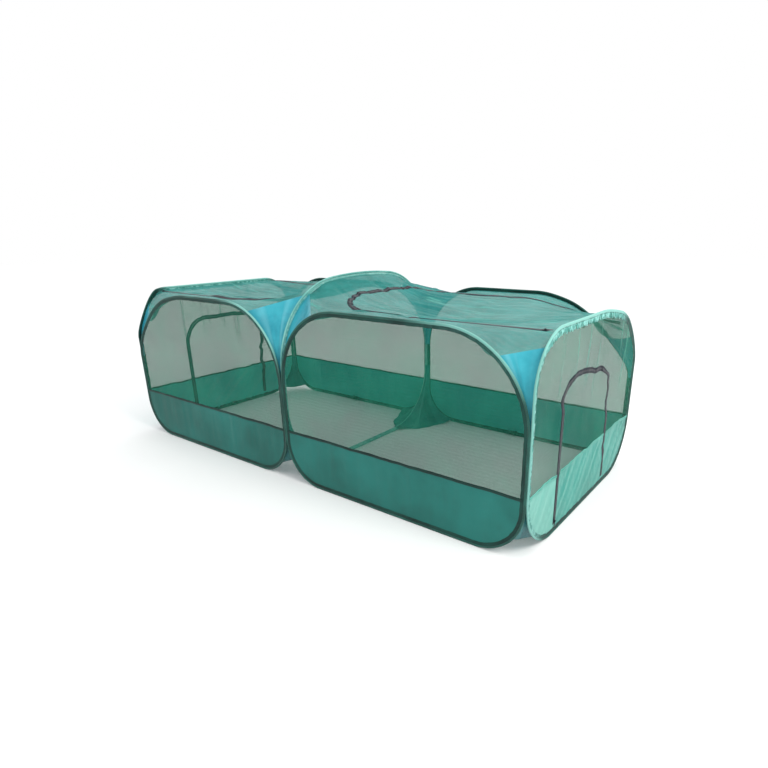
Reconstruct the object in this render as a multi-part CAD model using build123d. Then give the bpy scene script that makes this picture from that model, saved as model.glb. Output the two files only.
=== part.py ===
from build123d import *
from dataclasses import dataclass
import math
import os
import numpy

# Two-cell pop-up mesh pen for pets, with a zipped door in each end so that an animal can run
# through it, and a zipped hatch in the roof of each cell.
# Frame: +X along the pen, -Y the front wall, +Z up, origin on the floor under its middle.
# All sizes are in millimetres.

# ---- overall sizes --------------------------------------------------------------------
CELL_LENGTH = 1090.0  # plane of the middle arch to the plane of an end wall
PEN_WIDTH = 1015.0  # plane of the front wall to the plane of the rear wall
WALL_HEIGHT = 730.0  # floor to the top of the six wall hoops
ARCH_HEIGHT = 825.0  # floor to the crown of the middle arch
KICK_HEIGHT = 217.0  # top of the closed cloth band round the foot of the walls

# ---- hoop shapes, measured at the outer edge of the binding -----------------------------
LONG_SHOULDER_R = 316.0
LONG_FOOT_R = 178.0
END_SHOULDER_R = 185.0
END_FOOT_R = 213.0
ARCH_SHOULDER_R = 350.0
ARCH_FOOT_R = 300.0
ARCH_CROWN_R = 1900.0

# ---- spring wire, ferrule and sewn binding ----------------------------------------------
WIRE_D = 4.0
FERRULE_WALL = 0.7
FERRULE_LENGTH = 30.0
FERRULE_FIT = 0.05  # radial room between ferrule and wire
FERRULE_ROOM = 0.3  # radial room between ferrule and binding
SLEEVE_WALL = 0.8
BINDING_WIDTH = 25.0
BINDING_THICKNESS = 1.2
HOOP_GAP = 0.35  # between the sewn beads of two neighbouring hoops
FLOOR_FLAT = 0.3  # how far a sewn bead is pressed flat where it rests on the floor

# ---- cloth ------------------------------------------------------------------------------
CLOTH = 1.0
SEAM_GAP = 0.3
EDGE_TAPE_WIDTH = 12.0
EDGE_TAPE_THICKNESS = 0.8

# ---- doors --------------------------------------------------------------------------------
DOOR_WIDTH = 480.0
DOOR_TOP = 545.0
DOOR_SILL = 60.0
DOOR_CORNER_R = 130.0
RIGHT_DOOR_SHIFT = -30.0  # towards the front wall
LEFT_DOOR_SHIFT = 0.0

# ---- zips ---------------------------------------------------------------------------------
ZIP_SLOT = 2.0  # between the two halves
ZIP_TAPE_WIDTH = 10.0
ZIP_TAPE_THICKNESS = 1.0
COIL_WIDTH = 2.5
COIL_THICKNESS = 2.2
ZIP_TAIL = 28.0  # closed stretch past the hinge line, where the slider parks
TAIL_END = 4.0  # stitched end of the tail

# ---- zip sliders and pulls ----------------------------------------------------------------
SLIDER_LENGTH = 14.0
SLIDER_WIDTH = 9.0
SLIDER_PLATE = 1.3
SLIDER_ROOM = 0.45  # between a plate and the coil
SLIDER_POST_LENGTH = 5.0
SLIDER_POST_SIDE_ROOM = 0.4
EAR_THICKNESS = 1.0
EAR_LENGTH = 3.4
EAR_HEIGHT = 3.4
PIN_D = 1.4
PIN_FIT = 0.05
PIN_HEIGHT = 2.1  # above the top plate
PIN_BACK = 3.0  # behind the middle of the slider
EYE_D = 3.3
EYE_SIDE_ROOM = 0.3
PULL_LENGTH = 24.0
PULL_WIDTH = 6.0
PULL_THICKNESS = 1.2
EYE_SHARE = 0.6  # of the pull's width
GRIP_SHARE = 0.6  # of the pull's length

# ---- roof ---------------------------------------------------------------------------------
ROOF_SAG = 50.0
ROOF_SAG_POWER = 4  # how soon the sag dies out towards the long walls
ROOF_RISE_POWER = 6  # how quickly the roof drops away from the arch
ROOF_RISE_SQUARE = 0.35  # the shape of the rise across the pen: 1 - 0.35 t^2 - 2.6 t^4
ROOF_RISE_FOURTH = 2.6
ROOF_CORNER_DROP = 360.0
ROOF_CORNER_POWER = 14  # how late the drop sets in, both along and across the cell
HATCH_MARGIN = 152.5  # hatch's zip to the long wall's plane
HATCH_START = 112.0  # from the arch
HATCH_HINGE_INSET = 62.0  # hinge line to the end wall
HATCH_CORNER_R = 250.0

# ---- gussets, as the reach of their hems along the hoops from the sewn corner ---------------
MIDDLE_TOP_ARCH_REACH = 175.0
MIDDLE_TOP_WALL_REACH = 190.0
CORNER_TOP_WALL_REACH = 120.0
CORNER_TOP_END_REACH = 72.0
FRONT_FOOT_ARCH_REACH = 120.0
REAR_FOOT_ARCH_REACH = 285.0
FRONT_FOOT_WALL_REACH = 110.0
REAR_FOOT_WALL_REACH = 170.0
CORNER_FOOT_WALL_REACH = 95.0
CORNER_FOOT_END_REACH = 130.0
SEAM_STEPS = 12  # spans of the smooth curve that a gusset's hem follows

# ---- loops ----------------------------------------------------------------------------------
PEG_LOOP_LENGTH = 44.0
PEG_LOOP_DEPTH = 22.0
PEG_LOOP_HEIGHT = 16.0
WEBBING = 2.0
TIE_LOOP_WIDTH = 14.0
TIE_LOOP_DROP = 12.0
TIE_LOOP_THICKNESS = 2.0
TIE_LOOP_SPACING = 300.0

# ---- worked out from the sizes above ----------------------------------------------------------
FERRULE_D = WIRE_D + 2 * (FERRULE_FIT + FERRULE_WALL)
BORE_R = FERRULE_D / 2 + FERRULE_ROOM
BEAD_R = BORE_R + SLEEVE_WALL
BINDING_MIDDLE = BEAD_R * 2 + (BINDING_WIDTH - BEAD_R * 2) / 2  # middle of the flat part
FLANGE_HALF = BINDING_THICKNESS / 2
SEAT = FLANGE_HALF + SEAM_GAP + CLOTH / 2  # centre of a cloth edge sewn to a flat binding
CORNER_SHIFT = (2 * BEAD_R + HOOP_GAP) / math.sqrt(2)
NEIGHBOUR_SHIFT = BEAD_R + HOOP_GAP / 2
ARCH_SHIFT = math.sqrt((2 * BEAD_R + HOOP_GAP) ** 2 - NEIGHBOUR_SHIFT**2)
HALF_WIDTH = PEN_WIDTH / 2
ROOF_LEVEL = WALL_HEIGHT - BINDING_MIDDLE


@dataclass
class Hoop:
    """Outer edge of a hoop's binding, symmetric about u = 0, standing on v = 0."""

    width: float
    height: float
    shoulder_r: float
    foot_r: float
    crown_r: float = 0.0

    @property
    def shoulder_u(self):
        return self.width / 2 - self.shoulder_r

    @property
    def crown_v(self):
        return self.height - self.crown_r

    @property
    def shoulder_v(self):
        if not self.crown_r:
            return self.height - self.shoulder_r
        reach = self.crown_r - self.shoulder_r
        return self.crown_v + math.sqrt(reach**2 - self.shoulder_u**2)

    @property
    def shoulder_turn(self):
        if not self.crown_r:
            return 90.0
        return math.degrees(math.atan2(self.shoulder_v - self.crown_v, self.shoulder_u))

    def crown(self, inset):
        turn = math.radians(self.shoulder_turn)
        if self.crown_r:
            return CenterArc(
                (0, self.crown_v),
                self.crown_r - inset,
                self.shoulder_turn,
                180 - 2 * self.shoulder_turn,
            )
        top = self.shoulder_v + (self.shoulder_r - inset) * math.sin(turn)
        return Line((self.shoulder_u, top), (-self.shoulder_u, top))

    def outline(self, inset):
        """Closed wire that runs `inset` inside the outer edge."""
        half = self.width / 2 - inset
        foot_u = self.width / 2 - self.foot_r
        foot_r = self.foot_r - inset
        shoulder_r = self.shoulder_r - inset
        turn = self.shoulder_turn
        edges = [
            Line((-foot_u, inset), (foot_u, inset)),
            CenterArc((foot_u, self.foot_r), foot_r, -90, 90),
            Line((half, self.foot_r), (half, self.shoulder_v)),
            CenterArc((self.shoulder_u, self.shoulder_v), shoulder_r, 0, turn),
            self.crown(inset),
            CenterArc((-self.shoulder_u, self.shoulder_v), shoulder_r, 180 - turn, turn),
            Line((-half, self.shoulder_v), (-half, self.foot_r)),
            CenterArc((-foot_u, self.foot_r), foot_r, 180, 90),
        ]
        return Wire(edges)

    def seam(self, centre_v, radius, start_v, reach, rising):
        """Curve in the middle of the flat binding: up (or down) the side, then round its corner.

        It starts at height `start_v` and ends where the hoop is `reach` in from its side.
        """
        centre_u = self.width / 2 - radius
        turn = math.acos(1 - reach / radius)
        arc_r = radius - BINDING_MIDDLE
        straight = abs(centre_v - start_v)
        length = straight + arc_r * turn
        points = []
        for step in range(SEAM_STEPS + 1):
            along = length * step / SEAM_STEPS
            angle = max(0.0, along - straight) / arc_r
            side_v = start_v + rising * min(along, straight)
            points.append(
                (centre_u + arc_r * math.cos(angle), side_v + rising * arc_r * math.sin(angle))
            )
        return Spline(*points)

    def shoulder_seam(self, start_v, reach):
        return self.seam(self.shoulder_v, self.shoulder_r, start_v, reach, 1)

    def foot_seam(self, start_v, reach):
        return self.seam(self.foot_r, self.foot_r, start_v, reach, -1)


LONG_WIDTH = CELL_LENGTH - CORNER_SHIFT - NEIGHBOUR_SHIFT + 2 * BEAD_R
LONG_CENTRE = NEIGHBOUR_SHIFT - BEAD_R + LONG_WIDTH / 2
HOOP_HEIGHT = WALL_HEIGHT + FLOOR_FLAT
LONG_HOOP = Hoop(LONG_WIDTH, HOOP_HEIGHT, LONG_SHOULDER_R, LONG_FOOT_R)
END_WIDTH = PEN_WIDTH - 2 * (CORNER_SHIFT - BEAD_R)
END_HOOP = Hoop(END_WIDTH, HOOP_HEIGHT, END_SHOULDER_R, END_FOOT_R)
ARCH_WIDTH = PEN_WIDTH - 2 * (ARCH_SHIFT - BEAD_R)
ARCH_TALL = ARCH_HEIGHT + FLOOR_FLAT
ARCH_HOOP = Hoop(ARCH_WIDTH, ARCH_TALL, ARCH_SHOULDER_R, ARCH_FOOT_R, ARCH_CROWN_R)


def long_plane(side_x, side_y):
    """Sketch plane of a long wall: u along +X, v up, normal -Y."""
    return Plane(
        origin=(side_x * LONG_CENTRE, side_y * HALF_WIDTH, -FLOOR_FLAT),
        x_dir=(1, 0, 0),
        z_dir=(0, -1, 0),
    )


def cross_plane(x):
    """Sketch plane across the pen: u along +Y, v up, normal +X."""
    return Plane(origin=(x, 0, -FLOOR_FLAT), x_dir=(0, 1, 0), z_dir=(1, 0, 0))


def plate(face, plane, thickness, lift=0.0):
    """Flat piece of cloth on `plane`, its middle `lift` out along the plane's normal."""
    placed = plane.offset(lift - thickness / 2) * face
    return extrude(placed, amount=thickness, dir=plane.z_dir)


def box_face(u_low, u_high, v_low, v_high):
    middle = ((u_low + u_high) / 2, (v_low + v_high) / 2)
    return Pos(*middle) * Rectangle(u_high - u_low, v_high - v_low)


def save(node, solids):
    solids = list(solids)
    for index, solid in enumerate(solids):
        solid.label = node if len(solids) == 1 else f"{node}_{index + 1}"
    shape = solids[0] if len(solids) == 1 else Compound(label=node, children=solids)
    export_step(shape, f"parts/{node}.step")


def one_solid(shape):
    solids = shape.solids()
    return max(solids, key=lambda solid: solid.volume)


def mirrored(solid, plane):
    return one_solid(mirror(solid, about=plane))


# ---- hoops: wire, ferrule, binding --------------------------------------------------------


def swept_ring(hoop, plane, radius):
    path = plane * hoop.outline(BEAD_R)
    start = Plane(origin=plane.from_local_coords((0, BEAD_R, 0)), z_dir=plane.x_dir)
    return one_solid(sweep(start * Circle(radius), path=path))


def hoop_wire(hoop, plane):
    return swept_ring(hoop, plane, WIRE_D / 2)


def hoop_ferrule(plane):
    middle = plane.from_local_coords((-FERRULE_LENGTH / 2, BEAD_R, 0))
    start = Plane(origin=middle, z_dir=plane.x_dir)
    ring = Circle(FERRULE_D / 2) - Circle(WIRE_D / 2 + FERRULE_FIT)
    return one_solid(extrude(start * ring, amount=FERRULE_LENGTH))


def hoop_binding(hoop, plane):
    flange = make_face(hoop.outline(BEAD_R)) - make_face(hoop.outline(BINDING_WIDTH))
    bead = swept_ring(hoop, plane, BEAD_R)
    bore = swept_ring(hoop, plane, BORE_R)
    under_floor = Pos(0, 0, -BEAD_R) * Box(4 * CELL_LENGTH, 2 * PEN_WIDTH, 2 * BEAD_R)
    return one_solid(plate(flange, plane, BINDING_THICKNESS) + bead - bore - under_floor)


# ---- wall cloth ---------------------------------------------------------------------------


def wall_field(hoop):
    return make_face(hoop.outline(BINDING_WIDTH + SEAM_GAP))


def above(height, hoop):
    return box_face(-hoop.width, hoop.width, height, 2 * hoop.height)


def below(height, hoop):
    return box_face(-hoop.width, hoop.width, -hoop.height, height)


def kick_field(hoop):
    return wall_field(hoop) & below(KICK_HEIGHT - SEAM_GAP / 2, hoop)


def window_field(hoop):
    return wall_field(hoop) & above(KICK_HEIGHT + SEAM_GAP / 2, hoop)


def tape_field(hoop):
    low = KICK_HEIGHT - EDGE_TAPE_WIDTH / 2
    return wall_field(hoop) & box_face(-hoop.width, hoop.width, low, low + EDGE_TAPE_WIDTH)


# ---- doors ----------------------------------------------------------------------------------


def door_field(grow, bottom, shift):
    """Door outline grown by `grow`, from height `bottom` up, rounded at its top corners."""
    half = DOOR_WIDTH / 2 + grow
    top = DOOR_TOP + grow
    radius = DOOR_CORNER_R + grow
    edges = [
        Line((-half, bottom), (half, bottom)),
        Line((half, bottom), (half, top - radius)),
        CenterArc((half - radius, top - radius), radius, 0, 90),
        Line((half - radius, top), (radius - half, top)),
        CenterArc((radius - half, top - radius), radius, 90, 90),
        Line((-half, top - radius), (-half, bottom)),
    ]
    return Pos(shift, 0) * make_face(Wire(edges))


ZIP_NEAR = ZIP_SLOT / 2
ZIP_FAR = ZIP_NEAR + ZIP_TAPE_WIDTH
COIL_FAR = ZIP_NEAR + COIL_WIDTH
TAIL_BOTTOM = DOOR_SILL - ZIP_TAIL
FLAP_BOTTOM = DOOR_SILL + SEAM_GAP


def zip_half(band, coil, plane):
    return plate(band, plane, ZIP_TAPE_THICKNESS) + plate(coil, plane, COIL_THICKNESS)


def door_wall_zip(plane, shift):
    """Wall half of a door zip, with the closed tail below the hinge line."""
    band = door_field(ZIP_FAR, TAIL_BOTTOM, shift) - door_field(ZIP_NEAR, 0, shift)
    coil = door_field(COIL_FAR, TAIL_BOTTOM, shift) - door_field(ZIP_NEAR, 0, shift)
    tail_top = DOOR_SILL - SEAM_GAP
    for side in (-1, 1):
        edge = shift + side * DOOR_WIDTH / 2
        near = edge - side * ZIP_NEAR
        far = edge - side * ZIP_FAR
        coil_far = edge - side * COIL_FAR
        band += box_face(min(near, far), max(near, far), TAIL_BOTTOM, tail_top)
        coil += box_face(min(near, coil_far), max(near, coil_far), TAIL_BOTTOM, tail_top)
        band += box_face(edge - ZIP_NEAR, edge + ZIP_NEAR, TAIL_BOTTOM, TAIL_BOTTOM + TAIL_END)
    return zip_half(band, coil, plane).solids()


def door_flap_zip(plane, shift):
    band = door_field(-ZIP_NEAR, FLAP_BOTTOM, shift) - door_field(-ZIP_FAR, 0, shift)
    coil = door_field(-ZIP_NEAR, FLAP_BOTTOM, shift) - door_field(-COIL_FAR, 0, shift)
    return one_solid(zip_half(band, coil, plane))


def door_hole(shift):
    """What the door and its zip take out of the end wall's cloth."""
    hole = door_field(ZIP_FAR + SEAM_GAP, DOOR_SILL - SEAM_GAP, shift)
    for side in (-1, 1):
        edge = shift + side * DOOR_WIDTH / 2
        room = ZIP_FAR + SEAM_GAP
        hole += box_face(edge - room, edge + room, TAIL_BOTTOM - SEAM_GAP, DOOR_SILL)
    return hole


def door_cloth(low, high, shift):
    field = door_field(-ZIP_FAR - SEAM_GAP, FLAP_BOTTOM, shift)
    return field & box_face(-DOOR_WIDTH, DOOR_WIDTH, low, high)


# ---- zip slider and pull --------------------------------------------------------------------

PLATE_LOW = COIL_THICKNESS / 2 + SLIDER_ROOM
PLATE_TOP = PLATE_LOW + SLIDER_PLATE
PIN_Z = PLATE_TOP + PIN_HEIGHT
EYE_WIDTH = PULL_WIDTH * EYE_SHARE
EAR_Y = EYE_WIDTH / 2 + EYE_SIDE_ROOM + EAR_THICKNESS / 2


def zip_slider():
    """Slider that travels along +X, its outer face +Z."""
    plate_z = PLATE_LOW + SLIDER_PLATE / 2
    body = Pos(0, 0, plate_z) * Box(SLIDER_LENGTH, SLIDER_WIDTH, SLIDER_PLATE)
    body += Pos(0, 0, -plate_z) * Box(SLIDER_LENGTH, SLIDER_WIDTH, SLIDER_PLATE)
    post_x = (SLIDER_LENGTH - SLIDER_POST_LENGTH) / 2
    post_width = ZIP_SLOT - 2 * SLIDER_POST_SIDE_ROOM
    body += Pos(post_x, 0, 0) * Box(SLIDER_POST_LENGTH, post_width, 2 * plate_z)
    for side in (-1, 1):
        ear = Box(EAR_LENGTH, EAR_THICKNESS, EAR_HEIGHT)
        body += Pos(-PIN_BACK, side * EAR_Y, PLATE_TOP + EAR_HEIGHT / 2) * ear
    pin = Cylinder(PIN_D / 2, 2 * EAR_Y, rotation=(90, 0, 0))
    return one_solid(body + Pos(-PIN_BACK, 0, PIN_Z) * pin)


def zip_pull():
    """Pull that lies back along -X from the slider's pin."""
    eye = Cylinder(EYE_D / 2, EYE_WIDTH, rotation=(90, 0, 0))
    tab_z = (PULL_THICKNESS - EYE_D) / 2
    tab = Pos(-PULL_LENGTH / 2, 0, tab_z) * Box(PULL_LENGTH, EYE_WIDTH, PULL_THICKNESS)
    grip_length = PULL_LENGTH * GRIP_SHARE
    grip = Box(grip_length, PULL_WIDTH, PULL_THICKNESS)
    tab += Pos(grip_length / 2 - PULL_LENGTH, 0, tab_z) * grip
    bore = Cylinder(PIN_D / 2 + PIN_FIT, PULL_WIDTH, rotation=(90, 0, 0))
    return one_solid(Pos(-PIN_BACK, 0, PIN_Z) * (eye + tab - bore))


# ---- roof -------------------------------------------------------------------------------------

HATCH_HINGE_X = CELL_LENGTH - HATCH_HINGE_INSET
HATCH_HALF_WIDTH = HALF_WIDTH - HATCH_MARGIN


def roof_height(x, y):
    """Height of the right cell's roof: up at the arch, sagging between, down at the corners."""
    along = x / CELL_LENGTH
    out = y / HALF_WIDTH
    across = 1 - ROOF_RISE_SQUARE * out**2 - ROOF_RISE_FOURTH * out**4
    rise = (ARCH_HEIGHT - WALL_HEIGHT) * across * (1 - along) ** ROOF_RISE_POWER
    sag = ROOF_SAG * 4 * along * (1 - along) * (1 - out**2) ** ROOF_SAG_POWER
    drop = ROOF_CORNER_DROP * (along * out) ** ROOF_CORNER_POWER
    return ROOF_LEVEL + rise - sag - drop


def bernstein_rows(degree):
    """Bernstein polynomials of `degree` at evenly spaced shares, one row for each share."""
    shares = [step / degree for step in range(degree + 1)]
    return [
        [math.comb(degree, k) * t**k * (1 - t) ** (degree - k) for k in range(degree + 1)]
        for t in shares
    ]


def roof_face():
    """The roof's polynomial height as one Bezier patch over the cell."""
    rows = ROOF_CORNER_POWER
    columns = ROOF_CORNER_POWER
    xs = [CELL_LENGTH * row / rows for row in range(rows + 1)]
    ys = [PEN_WIDTH * (column / columns - 0.5) for column in range(columns + 1)]
    heights = numpy.array([[roof_height(x, y) for y in ys] for x in xs])
    part_way = numpy.linalg.solve(bernstein_rows(rows), heights)
    controls = numpy.linalg.solve(bernstein_rows(columns), part_way.T).T
    grid = [[Vector(x, y, float(z)) for y, z in zip(ys, line)] for x, line in zip(xs, controls)]
    return Face.make_bezier_surface(grid)


def roof_shell(thickness):
    face = Pos(0, 0, -thickness / 2) * roof_face()
    return extrude(face, amount=thickness, dir=(0, 0, 1))


def prism(face):
    return extrude(face, amount=2 * ARCH_HEIGHT)


def roof_plan():
    """Plan of one roof: the cell less a triangle for each gusset."""
    edge = HALF_WIDTH - SEAT + CLOTH / 2
    start = FLANGE_HALF + SEAM_GAP
    end = CELL_LENGTH - start
    middle_x = MIDDLE_TOP_WALL_REACH + 2 * SEAM_GAP
    middle_y = HALF_WIDTH - MIDDLE_TOP_ARCH_REACH - ARCH_SHIFT
    corner_x = CELL_LENGTH - CORNER_TOP_WALL_REACH - CORNER_SHIFT
    corner_y = HALF_WIDTH - CORNER_TOP_END_REACH - CORNER_SHIFT
    half = [(start, middle_y), (middle_x, edge), (corner_x, edge), (end, corner_y)]
    rest = [(x, -y) for x, y in reversed(half)]
    return make_face(Polyline(*half, *rest, close=True))


def hatch_field(grow, end):
    """Plan of the hatch grown by `grow`, rounded towards the arch and square at `end`."""
    half = HATCH_HALF_WIDTH + grow
    start = HATCH_START - grow
    radius = HATCH_CORNER_R + grow
    edges = [
        Line((end, -half), (end, half)),
        Line((end, half), (start + radius, half)),
        CenterArc((start + radius, half - radius), radius, 90, 90),
        Line((start, half - radius), (start, radius - half)),
        CenterArc((start + radius, radius - half), radius, 180, 90),
        Line((start + radius, -half), (end, -half)),
    ]
    return make_face(Wire(edges))


def roof_pieces():
    """Fixed roof, fixed zip half, hatch and hatch zip half of the right cell."""
    cloth = roof_shell(CLOTH)
    tape = roof_shell(ZIP_TAPE_THICKNESS)
    coil = roof_shell(COIL_THICKNESS)
    hinge_fixed = HATCH_HINGE_X + SEAM_GAP
    hinge_flap = HATCH_HINGE_X - SEAM_GAP
    tail_end = HATCH_HINGE_X + ZIP_TAIL
    hole = hatch_field(ZIP_FAR + SEAM_GAP, hinge_fixed)
    band = hatch_field(ZIP_FAR, tail_end) - hatch_field(ZIP_NEAR, 2 * CELL_LENGTH)
    coil_band = hatch_field(COIL_FAR, tail_end) - hatch_field(ZIP_NEAR, 2 * CELL_LENGTH)
    for side in (-1, 1):
        edge = side * HATCH_HALF_WIDTH
        room = ZIP_FAR + SEAM_GAP
        hole += box_face(HATCH_HINGE_X, tail_end + SEAM_GAP, edge - room, edge + room)
        near = edge - side * ZIP_NEAR
        far = edge - side * ZIP_FAR
        coil_far = edge - side * COIL_FAR
        band += box_face(hinge_fixed, tail_end, min(near, far), max(near, far))
        coil_band += box_face(hinge_fixed, tail_end, min(near, coil_far), max(near, coil_far))
        band += box_face(tail_end - TAIL_END, tail_end, edge - ZIP_NEAR, edge + ZIP_NEAR)
    flap_band = hatch_field(-ZIP_NEAR, hinge_flap) - hatch_field(-ZIP_FAR, 2 * CELL_LENGTH)
    flap_coil = hatch_field(-ZIP_NEAR, hinge_flap) - hatch_field(-COIL_FAR, 2 * CELL_LENGTH)
    fixed = one_solid(cloth & prism(roof_plan() - hole))
    hatch = one_solid(cloth & prism(hatch_field(-ZIP_FAR - SEAM_GAP, hinge_flap)))
    fixed_zip = one_solid((tape & prism(band)) + (coil & prism(coil_band)))
    hatch_zip = one_solid((tape & prism(flap_band)) + (coil & prism(flap_coil)))
    return fixed, fixed_zip, hatch, hatch_zip


# ---- gussets ------------------------------------------------------------------------------------


def gusset(seam_a, seam_b):
    """Cloth ruled between two seams that start beside each other."""
    face = Face.make_surface_from_curves(seam_a, seam_b)
    return one_solid(thicken(face, amount=CLOTH / 2, both=True))


ARCH_SIDE = Plane(origin=(SEAT, 0, -FLOOR_FLAT), x_dir=(0, -1, 0), z_dir=(-1, 0, 0))
END_SIDE = Plane(
    origin=(CELL_LENGTH - SEAT, 0, -FLOOR_FLAT), x_dir=(0, -1, 0), z_dir=(-1, 0, 0)
)
WALL_TO_ARCH = Plane(
    origin=(LONG_CENTRE, SEAT - HALF_WIDTH, -FLOOR_FLAT), x_dir=(-1, 0, 0), z_dir=(0, 1, 0)
)
WALL_TO_END = Plane(
    origin=(LONG_CENTRE, SEAT - HALF_WIDTH, -FLOOR_FLAT), x_dir=(1, 0, 0), z_dir=(0, -1, 0)
)


def save_gussets(node, front_right, rear_right):
    left_right = [front_right, mirrored(front_right, Plane.YZ)]
    rear = mirrored(rear_right, Plane.XZ)
    save(node, left_right + [rear, mirrored(rear, Plane.YZ)])


# ---- loops --------------------------------------------------------------------------------------


def peg_loop():
    """Webbing loop that stands out along +Y from the face at y = 0, open from top to bottom."""
    outer = Pos(0, PEG_LOOP_DEPTH / 2) * Rectangle(PEG_LOOP_LENGTH, PEG_LOOP_DEPTH)
    inner = Pos(0, PEG_LOOP_DEPTH / 2) * Rectangle(
        PEG_LOOP_LENGTH - 2 * WEBBING, PEG_LOOP_DEPTH - 2 * WEBBING
    )
    return extrude(outer - inner, amount=PEG_LOOP_HEIGHT)


def tie_loop():
    """Cord loop that hangs below z = 0 in the XZ plane."""
    outer = Pos(0, -TIE_LOOP_DROP / 2) * Rectangle(TIE_LOOP_WIDTH, TIE_LOOP_DROP)
    inner = Pos(0, -TIE_LOOP_DROP / 2) * Rectangle(
        TIE_LOOP_WIDTH - 2 * TIE_LOOP_THICKNESS, TIE_LOOP_DROP - 2 * TIE_LOOP_THICKNESS
    )
    return extrude(Plane.XZ * (outer - inner), amount=TIE_LOOP_THICKNESS / 2, both=True)


# ---- build ----------------------------------------------------------------------------------------

os.makedirs("parts", exist_ok=True)

LONG_WALLS = {
    "front_left": (-1, -1),
    "front_right": (1, -1),
    "rear_left": (-1, 1),
    "rear_right": (1, 1),
}
ENDS = {"left_end": (-1, LEFT_DOOR_SHIFT), "right_end": (1, RIGHT_DOOR_SHIFT)}

long_planes = {name: long_plane(*sides) for name, sides in LONG_WALLS.items()}
end_planes = {name: cross_plane(side * CELL_LENGTH) for name, (side, _) in ENDS.items()}
arch_plane = cross_plane(0)

save("long_hoop_wires", [hoop_wire(LONG_HOOP, plane) for plane in long_planes.values()])
save("end_hoop_wires", [hoop_wire(END_HOOP, plane) for plane in end_planes.values()])
save("arch_hoop_wire", [hoop_wire(ARCH_HOOP, arch_plane)])
all_planes = [*long_planes.values(), *end_planes.values(), arch_plane]
save("hoop_ferrules", [hoop_ferrule(plane) for plane in all_planes])

edge_tapes = []
tape_lift = (CLOTH + EDGE_TAPE_THICKNESS) / 2
for name, plane in long_planes.items():
    outward = 1 if LONG_WALLS[name][1] < 0 else -1
    save(f"hoop_binding_{name}", [hoop_binding(LONG_HOOP, plane)])
    save(f"kick_panel_{name}", [one_solid(plate(kick_field(LONG_HOOP), plane, CLOTH))])
    save(f"window_mesh_{name}", [one_solid(plate(window_field(LONG_HOOP), plane, CLOTH))])
    tape = plate(tape_field(LONG_HOOP), plane, EDGE_TAPE_THICKNESS, outward * tape_lift)
    edge_tapes.append(one_solid(tape))

for name, plane in end_planes.items():
    side, shift = ENDS[name]
    hole = door_hole(shift)
    save(f"hoop_binding_{name}", [hoop_binding(END_HOOP, plane)])
    save(f"kick_panel_{name}", [one_solid(plate(kick_field(END_HOOP) - hole, plane, CLOTH))])
    save(f"window_mesh_{name}", [one_solid(plate(window_field(END_HOOP) - hole, plane, CLOTH))])
    tapes = plate(tape_field(END_HOOP) - hole, plane, EDGE_TAPE_THICKNESS, side * tape_lift)
    edge_tapes.extend(tapes.solids())
    save(f"door_zip_{name}", door_wall_zip(plane, shift))
    door_kick = door_cloth(0, KICK_HEIGHT - SEAM_GAP / 2, shift)
    door_mesh = door_cloth(KICK_HEIGHT + SEAM_GAP / 2, DOOR_TOP, shift)
    save(f"door_flap_kick_{name}", [one_solid(plate(door_kick, plane, CLOTH))])
    save(f"door_flap_mesh_{name}", [one_solid(plate(door_mesh, plane, CLOTH))])
    save(f"door_flap_zip_{name}", [door_flap_zip(plane, shift)])

save("hoop_binding_arch", [hoop_binding(ARCH_HOOP, arch_plane)])
save("kick_edge_tapes", edge_tapes)

roof_names = ("roof_mesh", "roof_zip", "roof_hatch_mesh", "roof_hatch_zip")
for name, piece in zip(roof_names, roof_pieces()):
    save(f"{name}_right", [piece])
    save(f"{name}_left", [mirrored(piece, Plane.YZ)])

top_start = LONG_HOOP.shoulder_v
middle_top = gusset(
    ARCH_SIDE * ARCH_HOOP.shoulder_seam(top_start, MIDDLE_TOP_ARCH_REACH),
    WALL_TO_ARCH * LONG_HOOP.shoulder_seam(top_start, MIDDLE_TOP_WALL_REACH),
)
corner_top = gusset(
    END_SIDE * END_HOOP.shoulder_seam(top_start, CORNER_TOP_END_REACH),
    WALL_TO_END * LONG_HOOP.shoulder_seam(top_start, CORNER_TOP_WALL_REACH),
)
front_foot = gusset(
    ARCH_SIDE * ARCH_HOOP.foot_seam(ARCH_FOOT_R, FRONT_FOOT_ARCH_REACH),
    WALL_TO_ARCH * LONG_HOOP.foot_seam(ARCH_FOOT_R, FRONT_FOOT_WALL_REACH),
)
rear_foot = gusset(
    ARCH_SIDE * ARCH_HOOP.foot_seam(ARCH_FOOT_R, REAR_FOOT_ARCH_REACH),
    WALL_TO_ARCH * LONG_HOOP.foot_seam(ARCH_FOOT_R, REAR_FOOT_WALL_REACH),
)
corner_foot = gusset(
    END_SIDE * END_HOOP.foot_seam(END_FOOT_R, CORNER_FOOT_END_REACH),
    WALL_TO_END * LONG_HOOP.foot_seam(END_FOOT_R, CORNER_FOOT_WALL_REACH),
)
save_gussets("top_middle_gussets", middle_top, middle_top)
save_gussets("top_corner_gussets", corner_top, corner_top)
save_gussets("foot_middle_gussets", front_foot, rear_foot)
save_gussets("foot_corner_gussets", corner_foot, corner_foot)

slider = zip_slider()
pull = zip_pull()
for name, (side, shift) in ENDS.items():
    park = Plane(
        origin=(side * CELL_LENGTH, shift - DOOR_WIDTH / 2, DOOR_SILL - ZIP_TAIL / 2),
        x_dir=(0, 0, 1),
        z_dir=(side, 0, 0),
    )
    save(f"door_zip_slider_{name}", [park * slider])
    save(f"door_zip_pull_{name}", [park * pull])

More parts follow.
